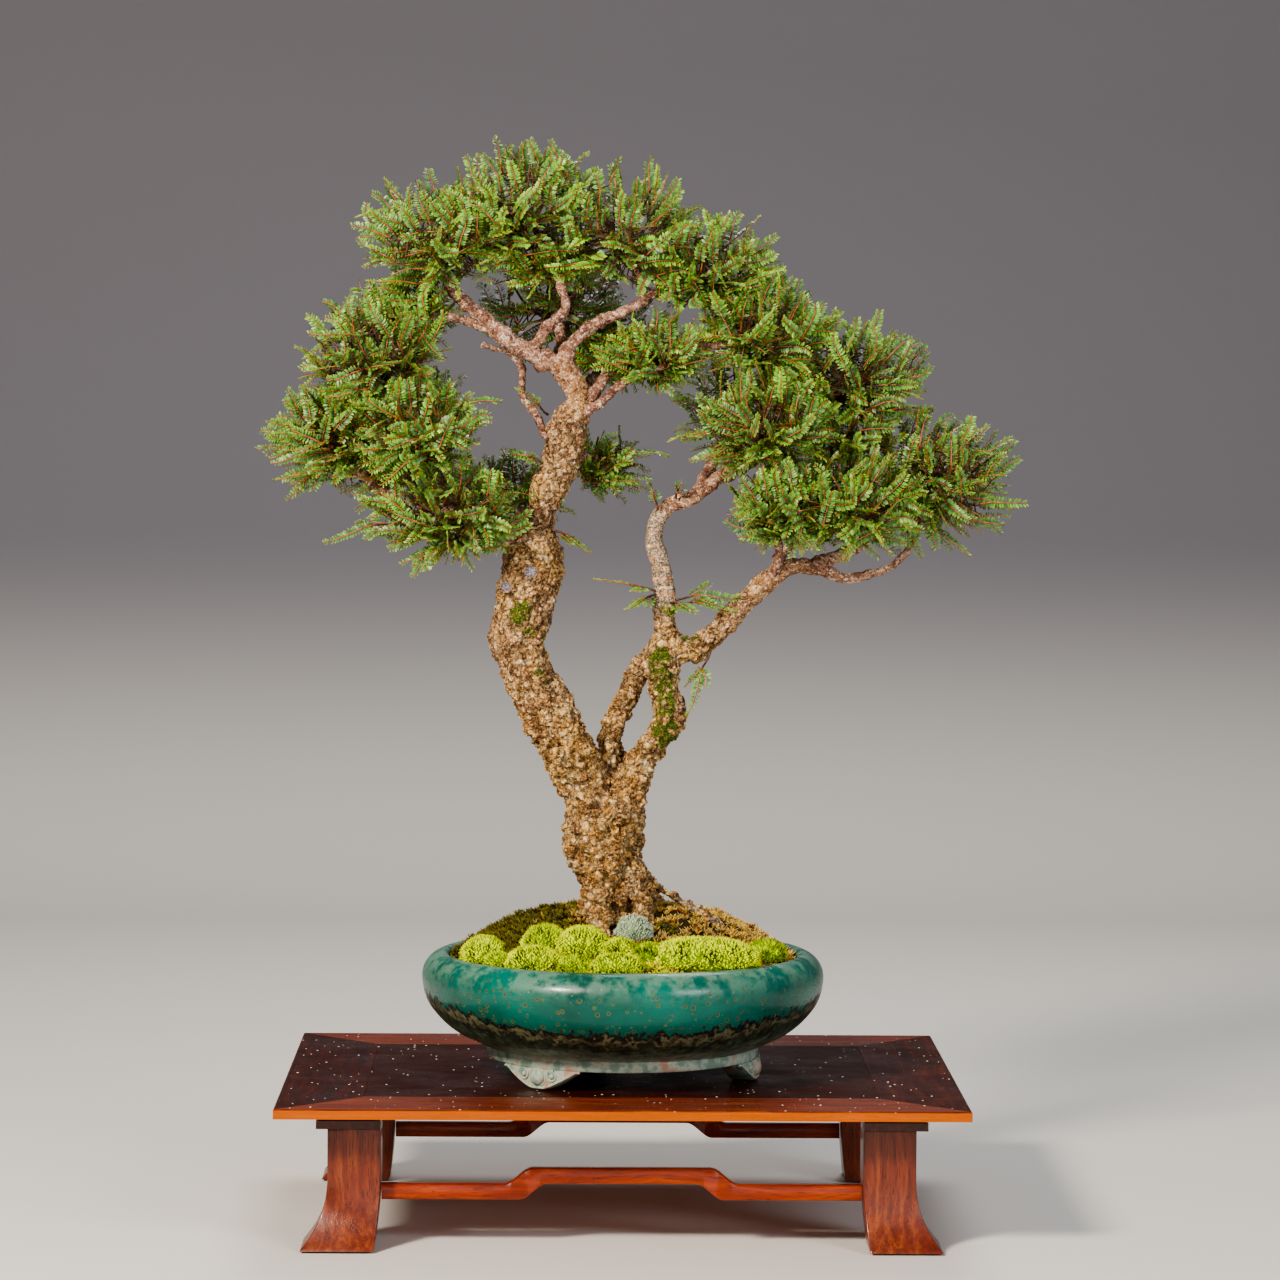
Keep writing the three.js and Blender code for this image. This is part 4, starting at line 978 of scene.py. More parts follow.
def addShoot(pile, start, way, length, face, chance, age, fine=True):
    count = max(5, int(length / shootForm["spacing"]))
    side = unit(np.cross(way, face))
    face = np.cross(side, way)
    sway = chance.uniform(-shootForm["sway"], shootForm["sway"])
    rise = chance.uniform(-0.12, shootForm["sway"])

    def place(t):
        return (start + np.outer(t * length, way) + np.outer(t ** 2 * length * rise, face)
                + np.outer(np.sin(t * 3) * t * length * sway, side)
                - np.outer(t ** 2.2 * length * shootForm["droop"], up))

    steps = 5
    pile.add(*tube(place(np.linspace(0, 1, steps)), np.linspace(*shootForm["stem"], steps), 3), 1, age=age)
    # Leaves in two rows, each laid down from the shoot and turned about its own length
    k = np.arange(2 * count)
    t = np.minimum((k / 2 + 1.0) / (count + 1) * 0.94 + 0.05, 1)
    hand = np.where(k % 2, 1.0, -1.0)[:, None]
    at = place(t)
    ahead = unit(place(np.minimum(t + 0.02, 1.02)) - place(t - 0.02))
    across = unit(np.cross(ahead, face)) * hand
    lift = np.cross(across, ahead) * hand
    angle = np.radians(shootForm["base"] + (shootForm["end"] - shootForm["base"]) * t ** 1.5
                       + chance.normal(0, 9, len(t)))[:, None]
    raised = lift * chance.uniform(0.0, 0.3, len(t))[:, None]
    point = unit(ahead * np.cos(angle) + across * np.sin(angle) + raised)
    twist = np.radians(shootForm["twist"] + chance.normal(0, 16, len(t)))[:, None]
    normal = unit(lift - point * (lift * point).sum(1)[:, None])
    width = np.cross(normal, point)
    width = width * np.cos(twist) - normal * np.sin(twist) * hand
    normal = np.cross(point, width)
    grown = 0.5 + 0.5 * np.sin(np.pi * np.clip(t * 0.86 + 0.1, 0, 1) ** 0.9)
    grown = grown * chance.uniform(0.85, 1.12, len(t))
    long, wide = (shootForm["leaf"][0] * grown)[:, None], (shootForm["leaf"][1] * grown / 2)[:, None]
    at = at + across * 0.5
    # How far along the leaf, how far out and how low each of its corners is
    if fine:
        outline = [(0, 0, 0), (0.36, 1, 0), (0.36, -1, 0), (0.76, 0.82, 0.05), (0.76, -0.82, 0.05),
                   (1, 0, 0.12)]
        corners = [[0, 2, 1], [1, 2, 4, 3], [3, 4, 5]]
    else:
        outline = [(0, 0, 0), (0.5, 1.1, 0), (0.5, -1.1, 0), (1, 0, 0.1)]
        corners = [[0, 2, 1], [1, 2, 3]]
    points = np.stack([at + point * long * far + width * wide * out - normal * long * sag
                       for far, out, sag in outline], 1)
    size = len(outline)
    first = np.arange(len(t))[:, None] * size
    pile.add(points.reshape(-1, 3), [first + corner for corner in corners], 0,
             age=np.repeat(np.clip(age + 0.5 * (t - 0.5), 0, 1), size),
             tone=np.repeat(chance.random(len(t)), size),
             tip=np.tile([far ** 2 for far, out, sag in outline], len(t)))


def makePad(name, home, middle, size, grow, seed):
    chance = np.random.default_rng(seed)
    middle, size, grow = np.array(middle, float), np.array(size, float), unit(np.array(grow, float))
    base = middle - 0.5 * size * grow
    pile = Pile()
    turn = np.array(Vector((0, 0, 1)).rotation_difference(Vector(grow)).to_matrix())

    def spread(count, lowest):
        # Even directions round the way that the pad grows
        height, angle = evenly(count, lowest)
        return directions(height, angle + chance.uniform(-0.3, 0.3, count)) @ turn.T

    nodes = []
    for way in spread(shootForm["twigs"], -0.35):
        end = middle + way * size * 0.62
        reach = np.linalg.norm(end - base)
        bend = chance.normal(0, 0.08, 3) * reach + [0, 0, -0.06 * reach]
        thick, middling, thin = shootForm["twig"]
        halfway = (base + end) / 2 + bend
        line, shape = limbTube([[*base, thick], [*halfway, middling], [*end, thin]], 6, 4)
        pile.add(*shape, 2)
        nodes.extend(line[2:, :3])
    nearest = neighbours(nodes)
    young = 0.5 if name.startswith("apex") else 0.42
    loose = shootForm["loose"].get(name, shootForm["loose"].get(name.split("_")[0], 1))
    for share, count in shootForm["shells"]:
        for way in spread(int(count * loose), -0.85):
            swell = 1 + shootForm["uneven"] * noise.noise(Vector(way) * 1.7 + Vector(middle) / 40)
            far = share * swell * chance.uniform(0.88, 1.04)
            tip = middle + way * size * far
            straight = unit(way * size)
            rising = grow * 0.55 + up * 0.4
            out = 0.55 * straight + rising * (0.3 + 0.6 * max(0, way @ up + 0.4)) + chance.normal(0, 0.3, 3)
            if way @ up < -0.1:
                # Those on the underside spread nearly level
                out = (straight + 0.5 * grow) * [1, 1, 0.2] + 0.1 * up + chance.normal(0, 0.22, 3)
            out = unit(out)
            length = chance.uniform(shootForm["shortest"], shootForm["longest"]) * (0.75 + 0.25 * share)
            root = tip - out * length
            if np.linalg.norm((root - middle) / size) > 0.8 * share * swell:
                out = unit(out + 1.3 * straight)
                root = tip - out * length
            start = np.array(nearest.find(root)[0])
            if np.linalg.norm(start - root) > 4:
                halfway = (start + root) / 2 + chance.normal(0, 1.5, 3)
                thick, middling, thin = shootForm["link"]
                path = [[*start, thick], [*halfway, middling], [*root, thin]]
                pile.add(*limbTube(path, 12, 3)[1], 2)
            face = unit(unit(tip - base) * 0.7 + 0.35 * up + [0, -0.5, 0] + chance.normal(0, 0.4, 3))
            # Shoots deeper in the pad get darker, older leaves: painted shade inside the pad
            age = np.clip(young + 0.14 * chance.normal() + 1.1 * (share - 0.92), 0, 1)
            addShoot(pile, root, out, length, face, chance, age, share > 0.7)
    made = pile.piece(f"pad.{name}", [leafMaterial, stemMaterial, twigMaterial])
    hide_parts(f"foliage_{home}")


# Loose sprigs on the bare limbs: where each leaves the wood, and its tip
sprigs = [
    [(26, -8, 412), (-28, -24, 423)],
    [(26, -8, 409), (0, -24, 397)],
    [(40, -8, 404), (100, -16, 414)],
    [(40, -10, 402), (96, -24, 401)],
    [(38, -12, 402), (58, -24, 397)],
    [(72, -16, 362), (50, -30, 312)],
    [(27, -8, 480), (18, -16, 508)],
    [(42, -8, 490), (47, -18, 506)],
    [(-60, -10, 462), (-28, -24, 447)],
    [(-190, -44, 468), (-254, -52, 462)],
    [(-165, -46, 448), (-178, -54, 424)],
    [(-250, -6, 515), (-289, -12, 494)],
    [(-84, 2, 744), (-92, 0, 790)],
    [(-28, 34, 524), (37, 30, 529)],
    [(-30, 30, 512), (22, 26, 503)],
    [(-66, 2, 560), (-92, -4, 584)],
    [(-72, 0, 520), (-100, -6, 530)],
    [(100, -20, 640), (96, -34, 588)],
    [(176, -24, 452), (160, -40, 470)],
    [(-150, -30, 562), (-106, -38, 578)],
    [(90, -34, 546), (34, -44, 545)],
    [(94, -30, 532), (52, -42, 530)],
    [(98, -30, 560), (60, -40, 568)],
    [(246, -10, 476), (288, -18, 444)],
    [(232, -10, 470), (250, -22, 444)],
]


def makeSprigs():
    pile = Pile()
    for number, (start, end) in enumerate(sprigs):
        chance = np.random.default_rng(500 + number)
        start, end = np.array(start, float), np.array(end, float)
        reach = np.linalg.norm(end - start)
        way = (end - start) / reach
        joint = start + way * reach * 0.3 + [0, 0, 1.5]
        halfway = (start + joint) / 2 + chance.normal(0, 1, 3)
        pile.add(*limbTube([[*start, 2.4], [*halfway, 2.0], [*joint, 1.5]], 4, 5)[1], 2)
        face = unit(np.array([0, -0.5, 1.0]) + chance.normal(0, 0.25, 3))
        addShoot(pile, joint, unit(end - joint), reach * 0.7, face, chance, 0.5)
        side = unit(np.cross(way, face))
        for hand in (-1, 1):
            out = unit(way + hand * side * chance.uniform(0.5, 0.9))
            foot = start + way * reach * chance.uniform(0.12, 0.3)
            addShoot(pile, foot, out, reach * chance.uniform(0.3, 0.5), face, chance, 0.42)
    made = pile.piece("sprigs", [leafMaterial, stemMaterial, twigMaterial])
    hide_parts("tree")


for seed, (name, (middle, size, grow)) in enumerate(pads.items()):
    makePad(name, name, middle, size, grow, 100 + seed)
for seed, (name, (home, middle, size, grow)) in enumerate(fills.items()):
    makePad(name, home, middle, size, grow, 200 + seed)
makeSprigs()
print("foliage built")


# The ground: a carpet of star moss with tufts and blades, and bright cushions

ground = {
    "rim": 100,  # height of the mound at the pot's lip
    "rise": 41,
    "steepFront": 0.9,  # how it falls from the middle to the lip
    "steepBack": 4.3,
    "lip": 147,
    "carpet": 145.5,
    "sunk": 1.5,  # how far the carpet lies in the mound
    "tufts": 5200,
    "blades": 6,  # in a tuft
    "tuft": 5.2,  # length of a blade of star moss
    "blade": 0.95,  # half its width
    "grain": 1.7,  # size of a tip in a cushion
    "fuller": (1.1, 1.15, 1.25),  # the cushions swell past their plain forms
}
cushions = {  # middle, half sizes, and how much darker than the brightest
    "cushion_left": ([-117, -60], [16, 20, 12], 0.1),
    "cushion_left_front": ([-104, -88], [9, 13, 7], 0.25),
    "cushion_left_big": ([-66, -70], [17, 15, 13], 0.2),
    "cushion_front_left": ([-34, -84], [20, 17, 15], 0.0),
    "cushion_front_wide": ([-75, -106], [21, 14, 12], 0.05),
    "cushion_front": ([-4, -94], [13, 13, 10], 0.1),
    "cushion_pale": ([8, -56], [14, 11, 13], 0.0),
    "cushion_front_low": ([-6, -125], [20, 12, 9], 0.1),
    "cushion_front_small": ([-41, -122], [13, 10, 8], 0.3),
    "cushion_middle": ([20, -100], [13, 12, 9], 0.45),
    "cushion_right_long": ([64, -98], [44, 23, 14], 0.0),
    "cushion_right": ([119, -54], [15, 18, 10], 0.45),
}


def moundHeight(x, y):
    reach = np.hypot(x, y)
    front = -y / np.maximum(reach, 1e-6)
    low, high = ground["steepFront"], ground["steepBack"]
    steep = (low + high) / 2 - front * (high - low) / 2
    return ground["rim"] + ground["rise"] * (1 - np.minimum(1, reach / ground["lip"]) ** steep)


def patches(x, y, size, layer):
    # Noise of one size at places x and y
    found = [noise.noise(Vector((a / size, b / size, layer))) for a, b in zip(np.ravel(x), np.ravel(y))]
    return np.array(found).reshape(np.shape(x))


def carpetHeight(x, y):
    # Uneven, with a swelling under the root that runs to the right
    lumps = 4.2 * patches(x, y, 15, 3) + 3.4 * patches(x, y, 5.5, 7)
    lumps = lumps + 5 * np.exp(-((x - 52) ** 2 + (y + 8) ** 2) / 26 ** 2)
    return moundHeight(x, y) + lumps - ground["sunk"]


def blades(pile, at, way, length, width, slot=0, **values):
    # One flat pointed blade for every place
    side = unit(np.cross(way, unit(np.cross(way, [0.31, 0.22, 0.93])) + 0.6 * up))
    points = np.stack([at - side * width, at + side * width, at + way * length], 1).reshape(-1, 3)
    faces = np.arange(len(at) * 3).reshape(-1, 3)
    whole = {key: np.repeat(value, 3) for key, value in values.items()}
    pile.add(points, [faces], slot, tip=np.tile([0.0, 0.0, 1.0], len(at)), **whole)


def makeCarpet():
    chance = np.random.default_rng(41)
    pile = Pile()
    rows, columns = 58, 150
    radii, turn = np.linspace(6, ground["carpet"], rows)[:, None], circle(columns)
    x, y = radii * np.cos(turn), radii * np.sin(turn)
    points = np.stack([x, y, carpetHeight(x, y)], -1).reshape(-1, 3)
    skirt = points[-columns:] * [0.985, 0.985, 1] - [0, 0, 9]
    j, k = ring(columns)
    pile.add(np.vstack([points, skirt, [0, 0, 140]]),
             [grid(rows + 1, columns), fan((rows + 1) * columns, k, j)], tone=0.1)
    count, each = ground["tufts"], ground["blades"]
    reach = ground["carpet"] * np.sqrt(chance.random(count))
    angle = chance.uniform(0, 2 * math.pi, count)
    x, y = reach * np.cos(angle), reach * np.sin(angle)
    at = np.repeat(np.stack([x, y, carpetHeight(x, y)], -1), each, 0)
    spin = np.repeat(chance.uniform(0, 6.3, count), each) + np.tile(np.arange(each) * 1.047, count)
    lean = chance.uniform(0.35, 1.15, len(spin))
    way = np.stack([np.cos(spin) * np.sin(lean), np.sin(spin) * np.sin(lean), np.cos(lean)], -1)
    # Olive on the left, rusty on the right and at the back, red stalks here and there, bright at the front
    rusty = x / 50 + 0.3 * y / 140 + 2.6 * patches(x, y, 17, 5) + chance.normal(0, 0.35, count)
    kind = np.where(rusty > 0, 1, 0)  # the slot of each tuft's moss
    kind[(rusty > 0.3) & (chance.random(count) < 0.08)] = 2
    kind[(y < -112 + 0.12 * x) & (chance.random(count) < 0.75)] = 3
    tone = np.clip(0.5 + 0.9 * patches(x, y, 6, 9) + chance.normal(0, 0.16, count), 0, 1)
    tone = np.repeat(tone, each)
    length = ground["tuft"] * chance.uniform(0.6, 1.15, len(spin))
    for slot in range(4):  # olive, rusty, red and bright
        chosen = np.repeat(kind == slot, each)
        blades(pile, at[chosen], way[chosen], length[chosen, None], ground["blade"], slot, tone=tone[chosen])
    made = pile.piece("moss", [oliveMoss, rustMoss, redMoss, brightMoss])
    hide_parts("moss_carpet")


def makeCushion(name, middle, size, darker, seed):
    chance = np.random.default_rng(seed)
    ragged = 2.4 if name == "cushion_pale" else 1
    x, y = middle
    width, depth, height = (a * b for a, b in zip(size, ground["fuller"]))
    turn = math.atan2(y, x) if abs(x) > 90 else 0  # those at the sides follow the pot's lip
    rotation = np.array(Matrix.Rotation(turn, 3, "Z"))
    centre = np.array([x, y, moundHeight(x, y) + 1])

    def surface(ways):
        lump = np.array([1 + 0.10 * noise.noise(Vector(way) * 2.6 + Vector((x, y, 0)))
                         + 0.06 * ragged * noise.noise(Vector(way) * 6.5 + Vector((x, y, 0)))
                         for way in ways])
        return (ways * lump[:, None] * [width, depth, height]) @ rotation.T + centre

    pile = Pile()
    rows, columns = 16, 40
    down, around = np.linspace(0.06, 0.62 * math.pi, rows)[:, None], circle(columns)
    ways = np.stack([np.sin(down) * np.cos(around), np.sin(down) * np.sin(around),
                     np.repeat(np.cos(down), columns, 1)], -1).reshape(-1, 3)
    j, k = ring(columns)
    pile.add(np.vstack([surface(ways), surface(np.array([[0, 0, 1.0]]))]),
             [grid(rows, columns)[:, ::-1], fan(rows * columns, j, k)], tone=0.0)
    # Pointed tips all over it
    spans = (width * depth, width * height, depth * height)
    area = 2 * math.pi * sum(span ** 1.6 / 3 for span in spans) ** (1 / 1.6)
    count = int(area / ground["grain"] ** 2 * 1.25)
    heights, turns = evenly(count, -0.3)
    ways = directions(heights, turns + chance.normal(0, 0.05, count))
    at = surface(ways)
    out = unit((ways / [width, depth, height]) @ rotation.T)
    out = unit(out + 0.25 * up + chance.normal(0, 0.14, (count, 3)))
    a = unit(np.cross(out, [0.3, 0.9, 0.2]))
    b = np.cross(out, a)
    wide = ground["grain"] * 0.5 * chance.uniform(0.8, 1.25, count)[:, None]
    tall = ground["grain"] * chance.uniform(0.7, 1.5, count)[:, None]
    corners = [at + a * wide - out * 0.5, at + b * wide - out * 0.5, at - a * wide - out * 0.5,
               at - b * wide - out * 0.5, at + out * tall]
    first = np.arange(count)[:, None] * 5
    faces = np.concatenate([first + [0, 1, 4], first + [1, 2, 4], first + [2, 3, 4], first + [3, 0, 4]])
    tone = np.clip(chance.uniform(0.35, 1, count) - darker, 0, 1)
    pile.add(np.stack(corners, 1), [faces], tone=np.repeat(tone, 5),
             tip=np.tile([0, 0, 0, 0, 1.0 - darker], count))
    made = pile.piece(f"moss.{name}", [paleMoss if name == "cushion_pale" else brightMoss])
    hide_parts(f"moss_{name}")


makeCarpet()
for seed, (name, (middle, size, darker)) in enumerate(cushions.items()):
    makeCushion(name, middle, size, darker, 300 + seed)
print("ground built")


# The pot: a round bowl on a foot ring, with three scrolled feet

bowl = {  # outlines as distance from the middle and height
    "outside": [[116.2, 26.8], [122, 29.2], [131, 33.6], [140, 37.9], [150.5, 45.6], [159, 54.5],
                [164.8, 62.5], [168.2, 71], [169.9, 79], [170.3, 86], [168.9, 92.5], [165.4, 98.3],
                [160.4, 102.6], [155.6, 104.7]],
    "lip": [[153.6, 105], [151.4, 104.9], [149.4, 104.0], [148.0, 102.4], [147.5, 100.5]],
    "inside": [[150.6, 94], [155, 87], [158.7, 79], [151, 66], [138, 52], [118, 35.6], [70, 34.4],
               [14.6, 33.6], [14, 33], [14, 22.6], [14.6, 22]],
    "ring": [[60, 22], [103, 22], [103.7, 21.3], [103.7, 17.7], [104.4, 17.0], [113.4, 17.0], [114.6, 17.5],
             [115.0, 18.6], [115.3, 21.5], [115.4, 25.0], [114.8, 25.9], [114.9, 26.4]],
    "segments": 144,
    "feet": [-38, 76, -161],  # degrees from the front towards the right
    "ringRadius": 114.7,
    "ringLow": 17,
    "footHalf": 40,  # half the width of a foot, and of the flat that it stands on
    "footStand": 6,
    "footBoss": 10.4,  # height of the boss in its middle, and how far aside and how high its curls are
    "curl": (14.5, 12.2),
    "footLoop": [(0.0, 20.0), (0.0, 9.0), (0.0, 2.0), (0.45, 0.6), (1.6, 0.0), (19, 0.0), (20.6, 0.6),
                 (21, 2.0), (21, 20.0)],  # how deep behind its face and how far over its edge
    "bossSize": (7.0, 4.6),  # radius, and how far it stands out
    "curlSize": (2.4, 2.2),
}


def makePot():
    pile = Pile()
    swell = throughPoints([[r, 0, z, 0] for r, z in bowl["outside"]], 2.6)
    profile = np.vstack([bowl["ring"], swell[:, [0, 2]], bowl["lip"], bowl["inside"]])
    turn = circle(bowl["segments"])
    radius = profile[:, :1] * (1 + 0.0016 * np.sin(2 * turn + 1) + 0.0008 * np.sin(5 * turn))
    points = np.stack([radius * np.cos(turn), radius * np.sin(turn),
                       np.repeat(profile[:, 1:], len(turn), 1)], -1)
    rows, count = len(profile), len(turn)
    j, k = ring(count)
    last = (rows - 1) * count
    pile.add(points, [grid(rows, count), np.stack([last + j, last + k, k, j], -1)])
    for degrees in bowl["feet"]:
        addFoot(pile, math.radians(degrees))
    made = pile.piece("bowl", [glazeMaterial])
    splitEdges(made, 50)
    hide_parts("pot")


def addFoot(pile, turn):
    # A foot like a curling cloud, bent round the ring
    outer = bowl["ringRadius"] + 1.5
    top, half, flat = bowl["ringLow"], bowl["footHalf"], bowl["footStand"]

    def bent(u, depth, z):
        angle = turn + u / outer
        reach = outer - depth
        return np.stack([reach * np.sin(angle), -reach * np.cos(angle), z], -1)

    def under(u):
        return top * np.clip((np.abs(u) - flat) / (half - flat), 0, 1) ** 1.25

    u = np.linspace(-half, half, 81)
    low = under(u)
    loop = []
    for depth, inward in bowl["footLoop"]:
        z = np.minimum(low + inward, top + 0.5) if inward < 20 else np.full_like(u, top + 0.5)
        loop.append(bent(u, np.full_like(u, depth), z))
    pile.add(np.stack(loop, 1), [grid(len(u), len(loop))[:, ::-1]])
    # A raised line along its lower edge, a boss in its middle and a curl at each side
    line = bent(u, np.full_like(u, -0.3), np.minimum(low + 1.9, top - 0.5))
    pile.add(*tube(line, np.full(len(u), 1.1), 8))
    height, around = np.linspace(0, quarter, 7)[:, None], circle(24)
    aside, curlUp = bowl["curl"]
    bosses = [(0, bowl["footBoss"], bowl["bossSize"]), (-aside, curlUp, bowl["curlSize"]),
              (aside, curlUp, bowl["curlSize"])]
    for middle, level, (radius, tall) in bosses:
        r = radius * np.cos(height)
        dome = bent(middle + r * np.cos(around), -tall * np.sin(height) + 0 * around,
                    level + r * np.sin(around))
        pile.add(dome, [grid(7, 24)])
    for hand in (-1, 1):
        t = np.linspace(0, 1, 26)
        spin = 1.2 + t * 7.4
        reach = 4.8 - 1.7 * t
        across, high = hand * (aside + reach * np.cos(spin)), curlUp + reach * np.sin(spin)
        pile.add(*tube(bent(across, np.full_like(t, -0.4), high), 1.1 - 0.4 * t, 7))
    # A bead round the boss
    around = np.linspace(0, 2 * math.pi, 36)
    bead = bent(8.4 * np.cos(around), np.full_like(around, -0.1), bowl["footBoss"] + 7.2 * np.sin(around))
    pile.add(*tube(bead, np.full(len(around), 0.8), 7))


makePot()
print("pot built")


# The stand: the top keeps its own pieces, legs and stretchers are smoother here

stand = {
    "width": 566,
    "depth": 449,
    "legTop": 99.9,
    "legLow": 1.5,
    "legInset": 42,
    "leg": 43.4,  # its thickness
    "flare": 22,  # how far the foot runs outward and inward
    "heel": 5,
    "flareHeight": 62,
    "edge": 1.1,  # rounding of the edges
    "stretcherInset": 64,
    "thickness": 12,
    "height": 12.6,
    "low": 38.5,
    "rise": 13.2,  # of the hump, and where its sides start and end
    "humpTop": [74, 96],
    "humpUnder": [62, 82],
    "stretcherEdge": 0.9,
    "bevel": 0.6,  # on the top
    "gap": 0.3,  # between stretcher and leg
}


def makeLeg(name, sideX, sideY):
    low, top, half, edge = stand["legLow"], stand["legTop"], stand["leg"] / 2, stand["edge"]
    heights = np.concatenate([[low, low + 0.4, low + 1.2], np.linspace(low + 3, top - 1.2, 40),
                              [top - 0.4, top]])
    drop = np.maximum(0, 1 - (heights - low) / stand["flareHeight"])
    outward, inward = stand["flare"] * drop ** 2.6, stand["heel"] * drop ** 1.8
    shrink = np.array([1.0, 0.4] + [0.0] * 41 + [0.4, 1.0]) * 0.9  # rounds the ends
    loop = []
    for number, (cx, cy) in enumerate([(1, 1), (-1, 1), (-1, -1), (1, -1)]):
        for a in np.linspace(0, quarter, 5) + number * quarter:
            loop.append((cx * (half - edge) + edge * math.cos(a), cy * (half - edge) + edge * math.sin(a)))
    loop = np.array(loop)
    middleX = sideX * (stand["width"] / 2 - stand["legInset"] - half)
    middleY = sideY * (stand["depth"] / 2 - stand["legInset"] - half)
    points = []
    for z, out, inn, less in zip(heights, outward, inward, shrink):
        outline = loop * (half - less) / half
        x = outline[:, 0] + sideX * np.where(outline[:, 0] * sideX > 0, out, inn)
        y = outline[:, 1] + sideY * np.where(outline[:, 1] * sideY > 0, out, inn)
        points.append(np.stack([x + middleX, y + middleY, np.full(len(x), z)], -1))
    n = len(loop)
    ends = [np.arange(n)[None, ::-1], (np.arange(n) + (len(heights) - 1) * n)[None]]
    pile = Pile()
    pile.add(points, [grid(len(heights), n), *ends])
    made = pile.piece(f"leg.{name}", [legWood], origin=standMid)
    splitEdges(made, 40)
    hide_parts(f"stand_leg_{name}")


def makeStretcher(name, side):
    reach = stand["width"] / 2 - stand["legInset"] - stand["leg"] - stand["gap"]
    low, height, rise = stand["low"], stand["height"], stand["rise"]
    hump = np.linspace(60, 98, 39)
    x = np.unique(np.concatenate([np.linspace(-reach, reach, 41), hump, -hump]))
    far = np.abs(x)
    under = low + rise * (1 - smooth(stand["humpUnder"][0] - 1, stand["humpUnder"][1] + 2, far))
    top = low + height + rise * (1 - smooth(stand["humpTop"][0] - 1, stand["humpTop"][1] + 1, far))
    thick, edge = stand["thickness"] / 2, stand["stretcherEdge"]
    corners = [(1, 1, 0), (1, 1, 1), (-1, 1, 1), (-1, 1, 0), (-1, -1, 0), (-1, -1, 1), (1, -1, 1), (1, -1, 0)]
    loop = []
    for back, level, across in corners:
        y = back * (thick - (edge if across else 0))
        inward = 0 if across else edge
        loop.append(np.stack([x, np.full_like(x, y), top - inward if level > 0 else under + inward], -1))
    points = np.stack(loop, 1) + [0, side * (stand["depth"] / 2 - stand["stretcherInset"]), 0]
    n = len(loop)
    ends = [np.arange(n)[None], (np.arange(n)[::-1] + (len(x) - 1) * n)[None]]
    pile = Pile()
    pile.add(points, [grid(len(x), n)[:, ::-1], *ends])
    made = pile.piece(f"stretcher.{name}", [stretcherLitWood], origin=standMid)
    splitEdges(made, 50)
    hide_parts(f"stand_stretcher_{name}")


for sideY, place in ((-1, "front"), (1, "back")):
    makeLeg(f"{place}_left", -1, sideY)
    makeLeg(f"{place}_right", 1, sideY)
makeStretcher("front", -1)
makeStretcher("back", 1)

carried = {  # nodes that keep their own shape
    "stand_panel": panelWood,
    "stand_rail_front": frontWood,
    "stand_rail_back": frontWood,
    "stand_rail_left": sideShadedWood,
    "stand_rail_right": sideShadedWood,
    "stand_batten_left": battenShadedWood,
    "stand_batten_right": battenShadedWood,
    "stand_glide_front_left": feltMaterial,
    "stand_glide_front_right": feltMaterial,
    "stand_glide_back_left": feltMaterial,
    "stand_glide_back_right": feltMaterial,
    "soil": soilMaterial,
    "drain_screen": screenMaterial,
}
for name, material in carried.items():
    node = bpy.data.objects[name]
    node.data.materials.clear()
    node.data.materials.append(material)
    if name.startswith(("stand_panel", "stand_rail")):
        bevel = node.modifiers.new("bevel", "BEVEL")
        bevel.width = stand["bevel"] * mm
        bevel.segments = 2
        bevel.limit_method = "ANGLE"
print("stand built")


# Floor, backdrop and lights

studio = {
    "floor": "#d0cdc7",
    "wall": "#77757a",
    "front": 6.0,  # the floor's reach in front, to the backdrop and to each side
    "far": 2.2,
    "half": 5.0,
    "curve": 0.9,  # radius between floor and backdrop
    "high": 4.5,
    "aim": (0, 0, 0.45),  # what the lights point at
    "sky": "#dfe3e8",
    "skyStrength": 0.26,
    "lights": [  # place, size, power, colour
        ((-1.7, -2.2, 2.0), 0.6, 158, "#fff4e6"),
        ((1.8, -2.2, 1.4), 1.0, 38, "#f4f7ff"),
        ((0.3, -2.7, 0.45), 1.8, 10, "#fff4ea"),
        ((0.2, 1.6, 2.4), 1.2, 34, "#ffffff"),
    ],
}


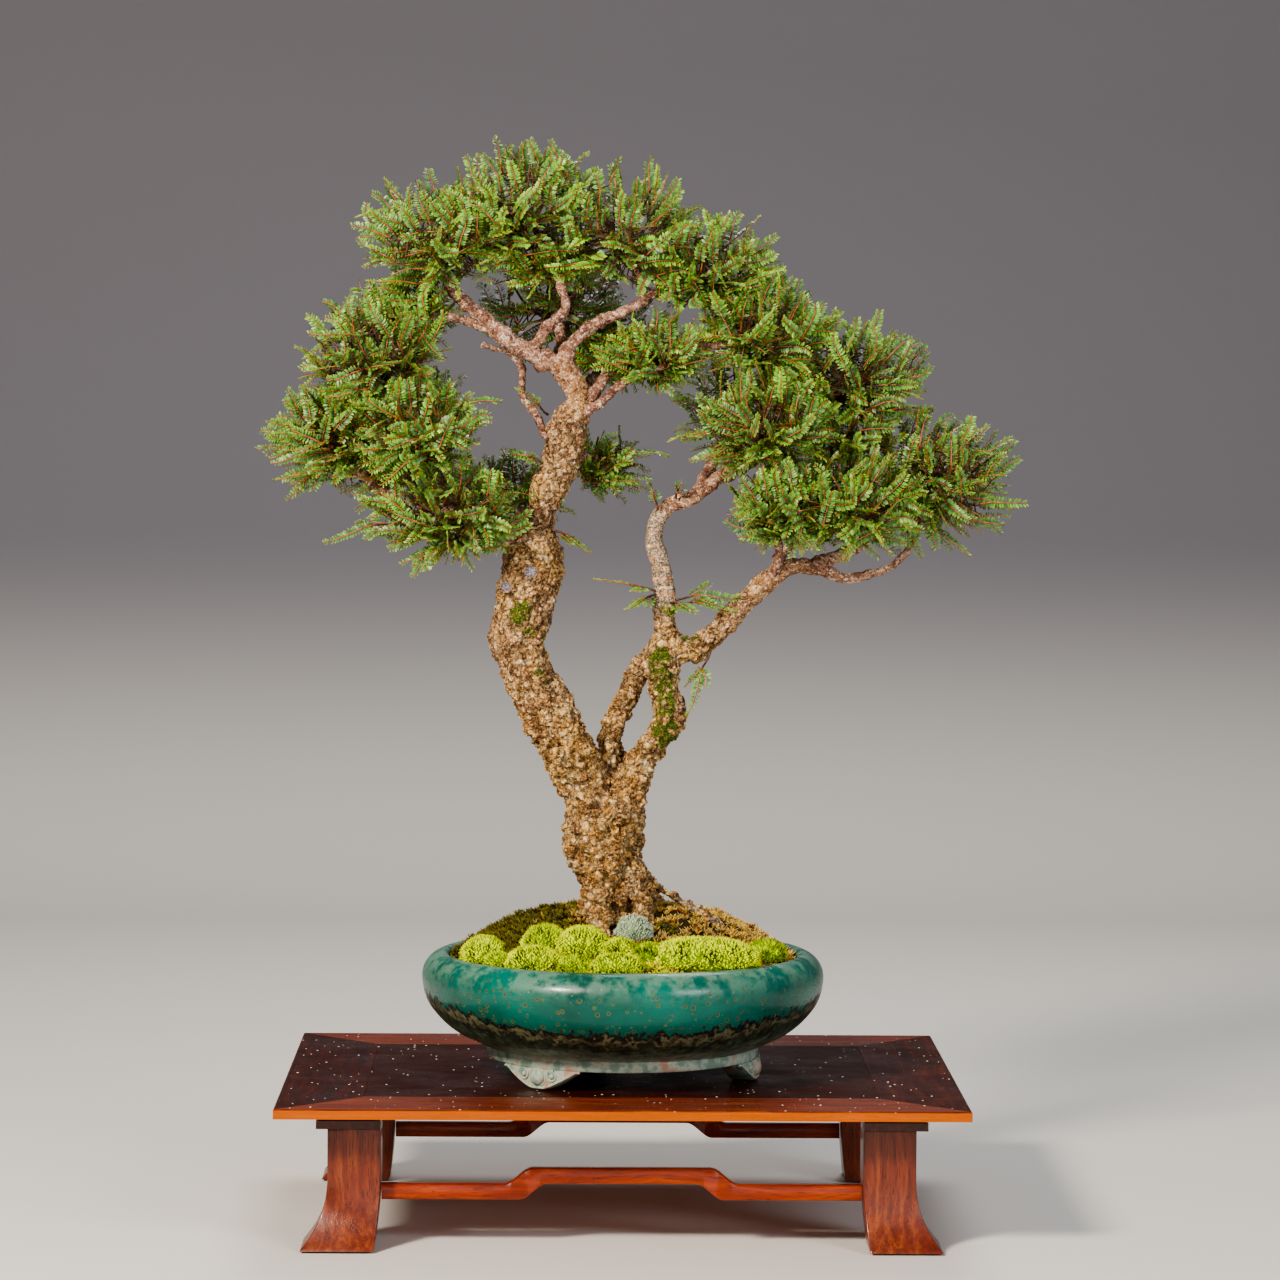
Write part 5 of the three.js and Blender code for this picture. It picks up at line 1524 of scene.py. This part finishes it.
def setStudio():
    floor = bpy.data.meshes.new("floor")
    far, half, curve = studio["far"], studio["half"], studio["curve"]
    rows = [(-studio["front"], 0.0)]
    rows += [(far + curve * math.sin(a), curve - curve * math.cos(a)) for a in np.linspace(0, quarter, 13)]
    rows += [(far + curve, studio["high"])]
    points = [(x, y, z) for y, z in rows for x in (-half, half)]
    faces = [(2 * i, 2 * i + 1, 2 * i + 3, 2 * i + 2) for i in range(len(rows) - 1)]
    floor.from_pydata(points, [], faces)
    floor.polygons.foreach_set("use_smooth", [True] * len(faces))
    holder = bpy.data.objects.new("floor", floor)
    intoScene(holder)
    material, tree, to, place = newMaterial("floorFinish", 0.8, specular=0.2)
    height = put(tree, "SeparateXYZ", {0: place}).outputs["Z"]
    shade = blend(tree, rangeOf(tree, height, 0.0, 0.5), colour(studio["floor"]), colour(studio["wall"]))
    tree.links.new(shade, to["Base Color"])
    # From behind, the backdrop lets the camera through
    clear = put(tree, "BsdfTransparent").outputs[0]
    shown = put(tree, "MixShader", {0: put(tree, "NewGeometry").outputs["Backfacing"],
                                    1: tree.nodes["Principled BSDF"].outputs[0], 2: clear}).outputs[0]
    tree.links.new(shown, tree.nodes["Material Output"].inputs["Surface"])
    floor.materials.append(material)
    for number, (place, size, power, tint) in enumerate(studio["lights"]):
        data = bpy.data.lights.new(f"light.{number}", "AREA")
        data.shape = "DISK"
        data.size = size
        data.energy = power
        data.color = colour(tint)[:3]
        lamp = bpy.data.objects.new(f"light.{number}", data)
        lamp.location = place
        lamp.rotation_euler = (Vector(studio["aim"]) - Vector(place)).to_track_quat("-Z", "Y").to_euler()
        intoScene(lamp)
    world = bpy.data.worlds.new("world")
    world.use_nodes = True
    sky = world.node_tree.nodes["Background"].inputs
    sky["Color"].default_value = colour(studio["sky"])
    sky["Strength"].default_value = studio["skyStrength"]
    bpy.context.scene.world = world
    bpy.context.scene.view_settings.view_transform = "AgX"
    bpy.context.scene.view_settings.look = "AgX - Medium High Contrast"


setStudio()
print("studio set")
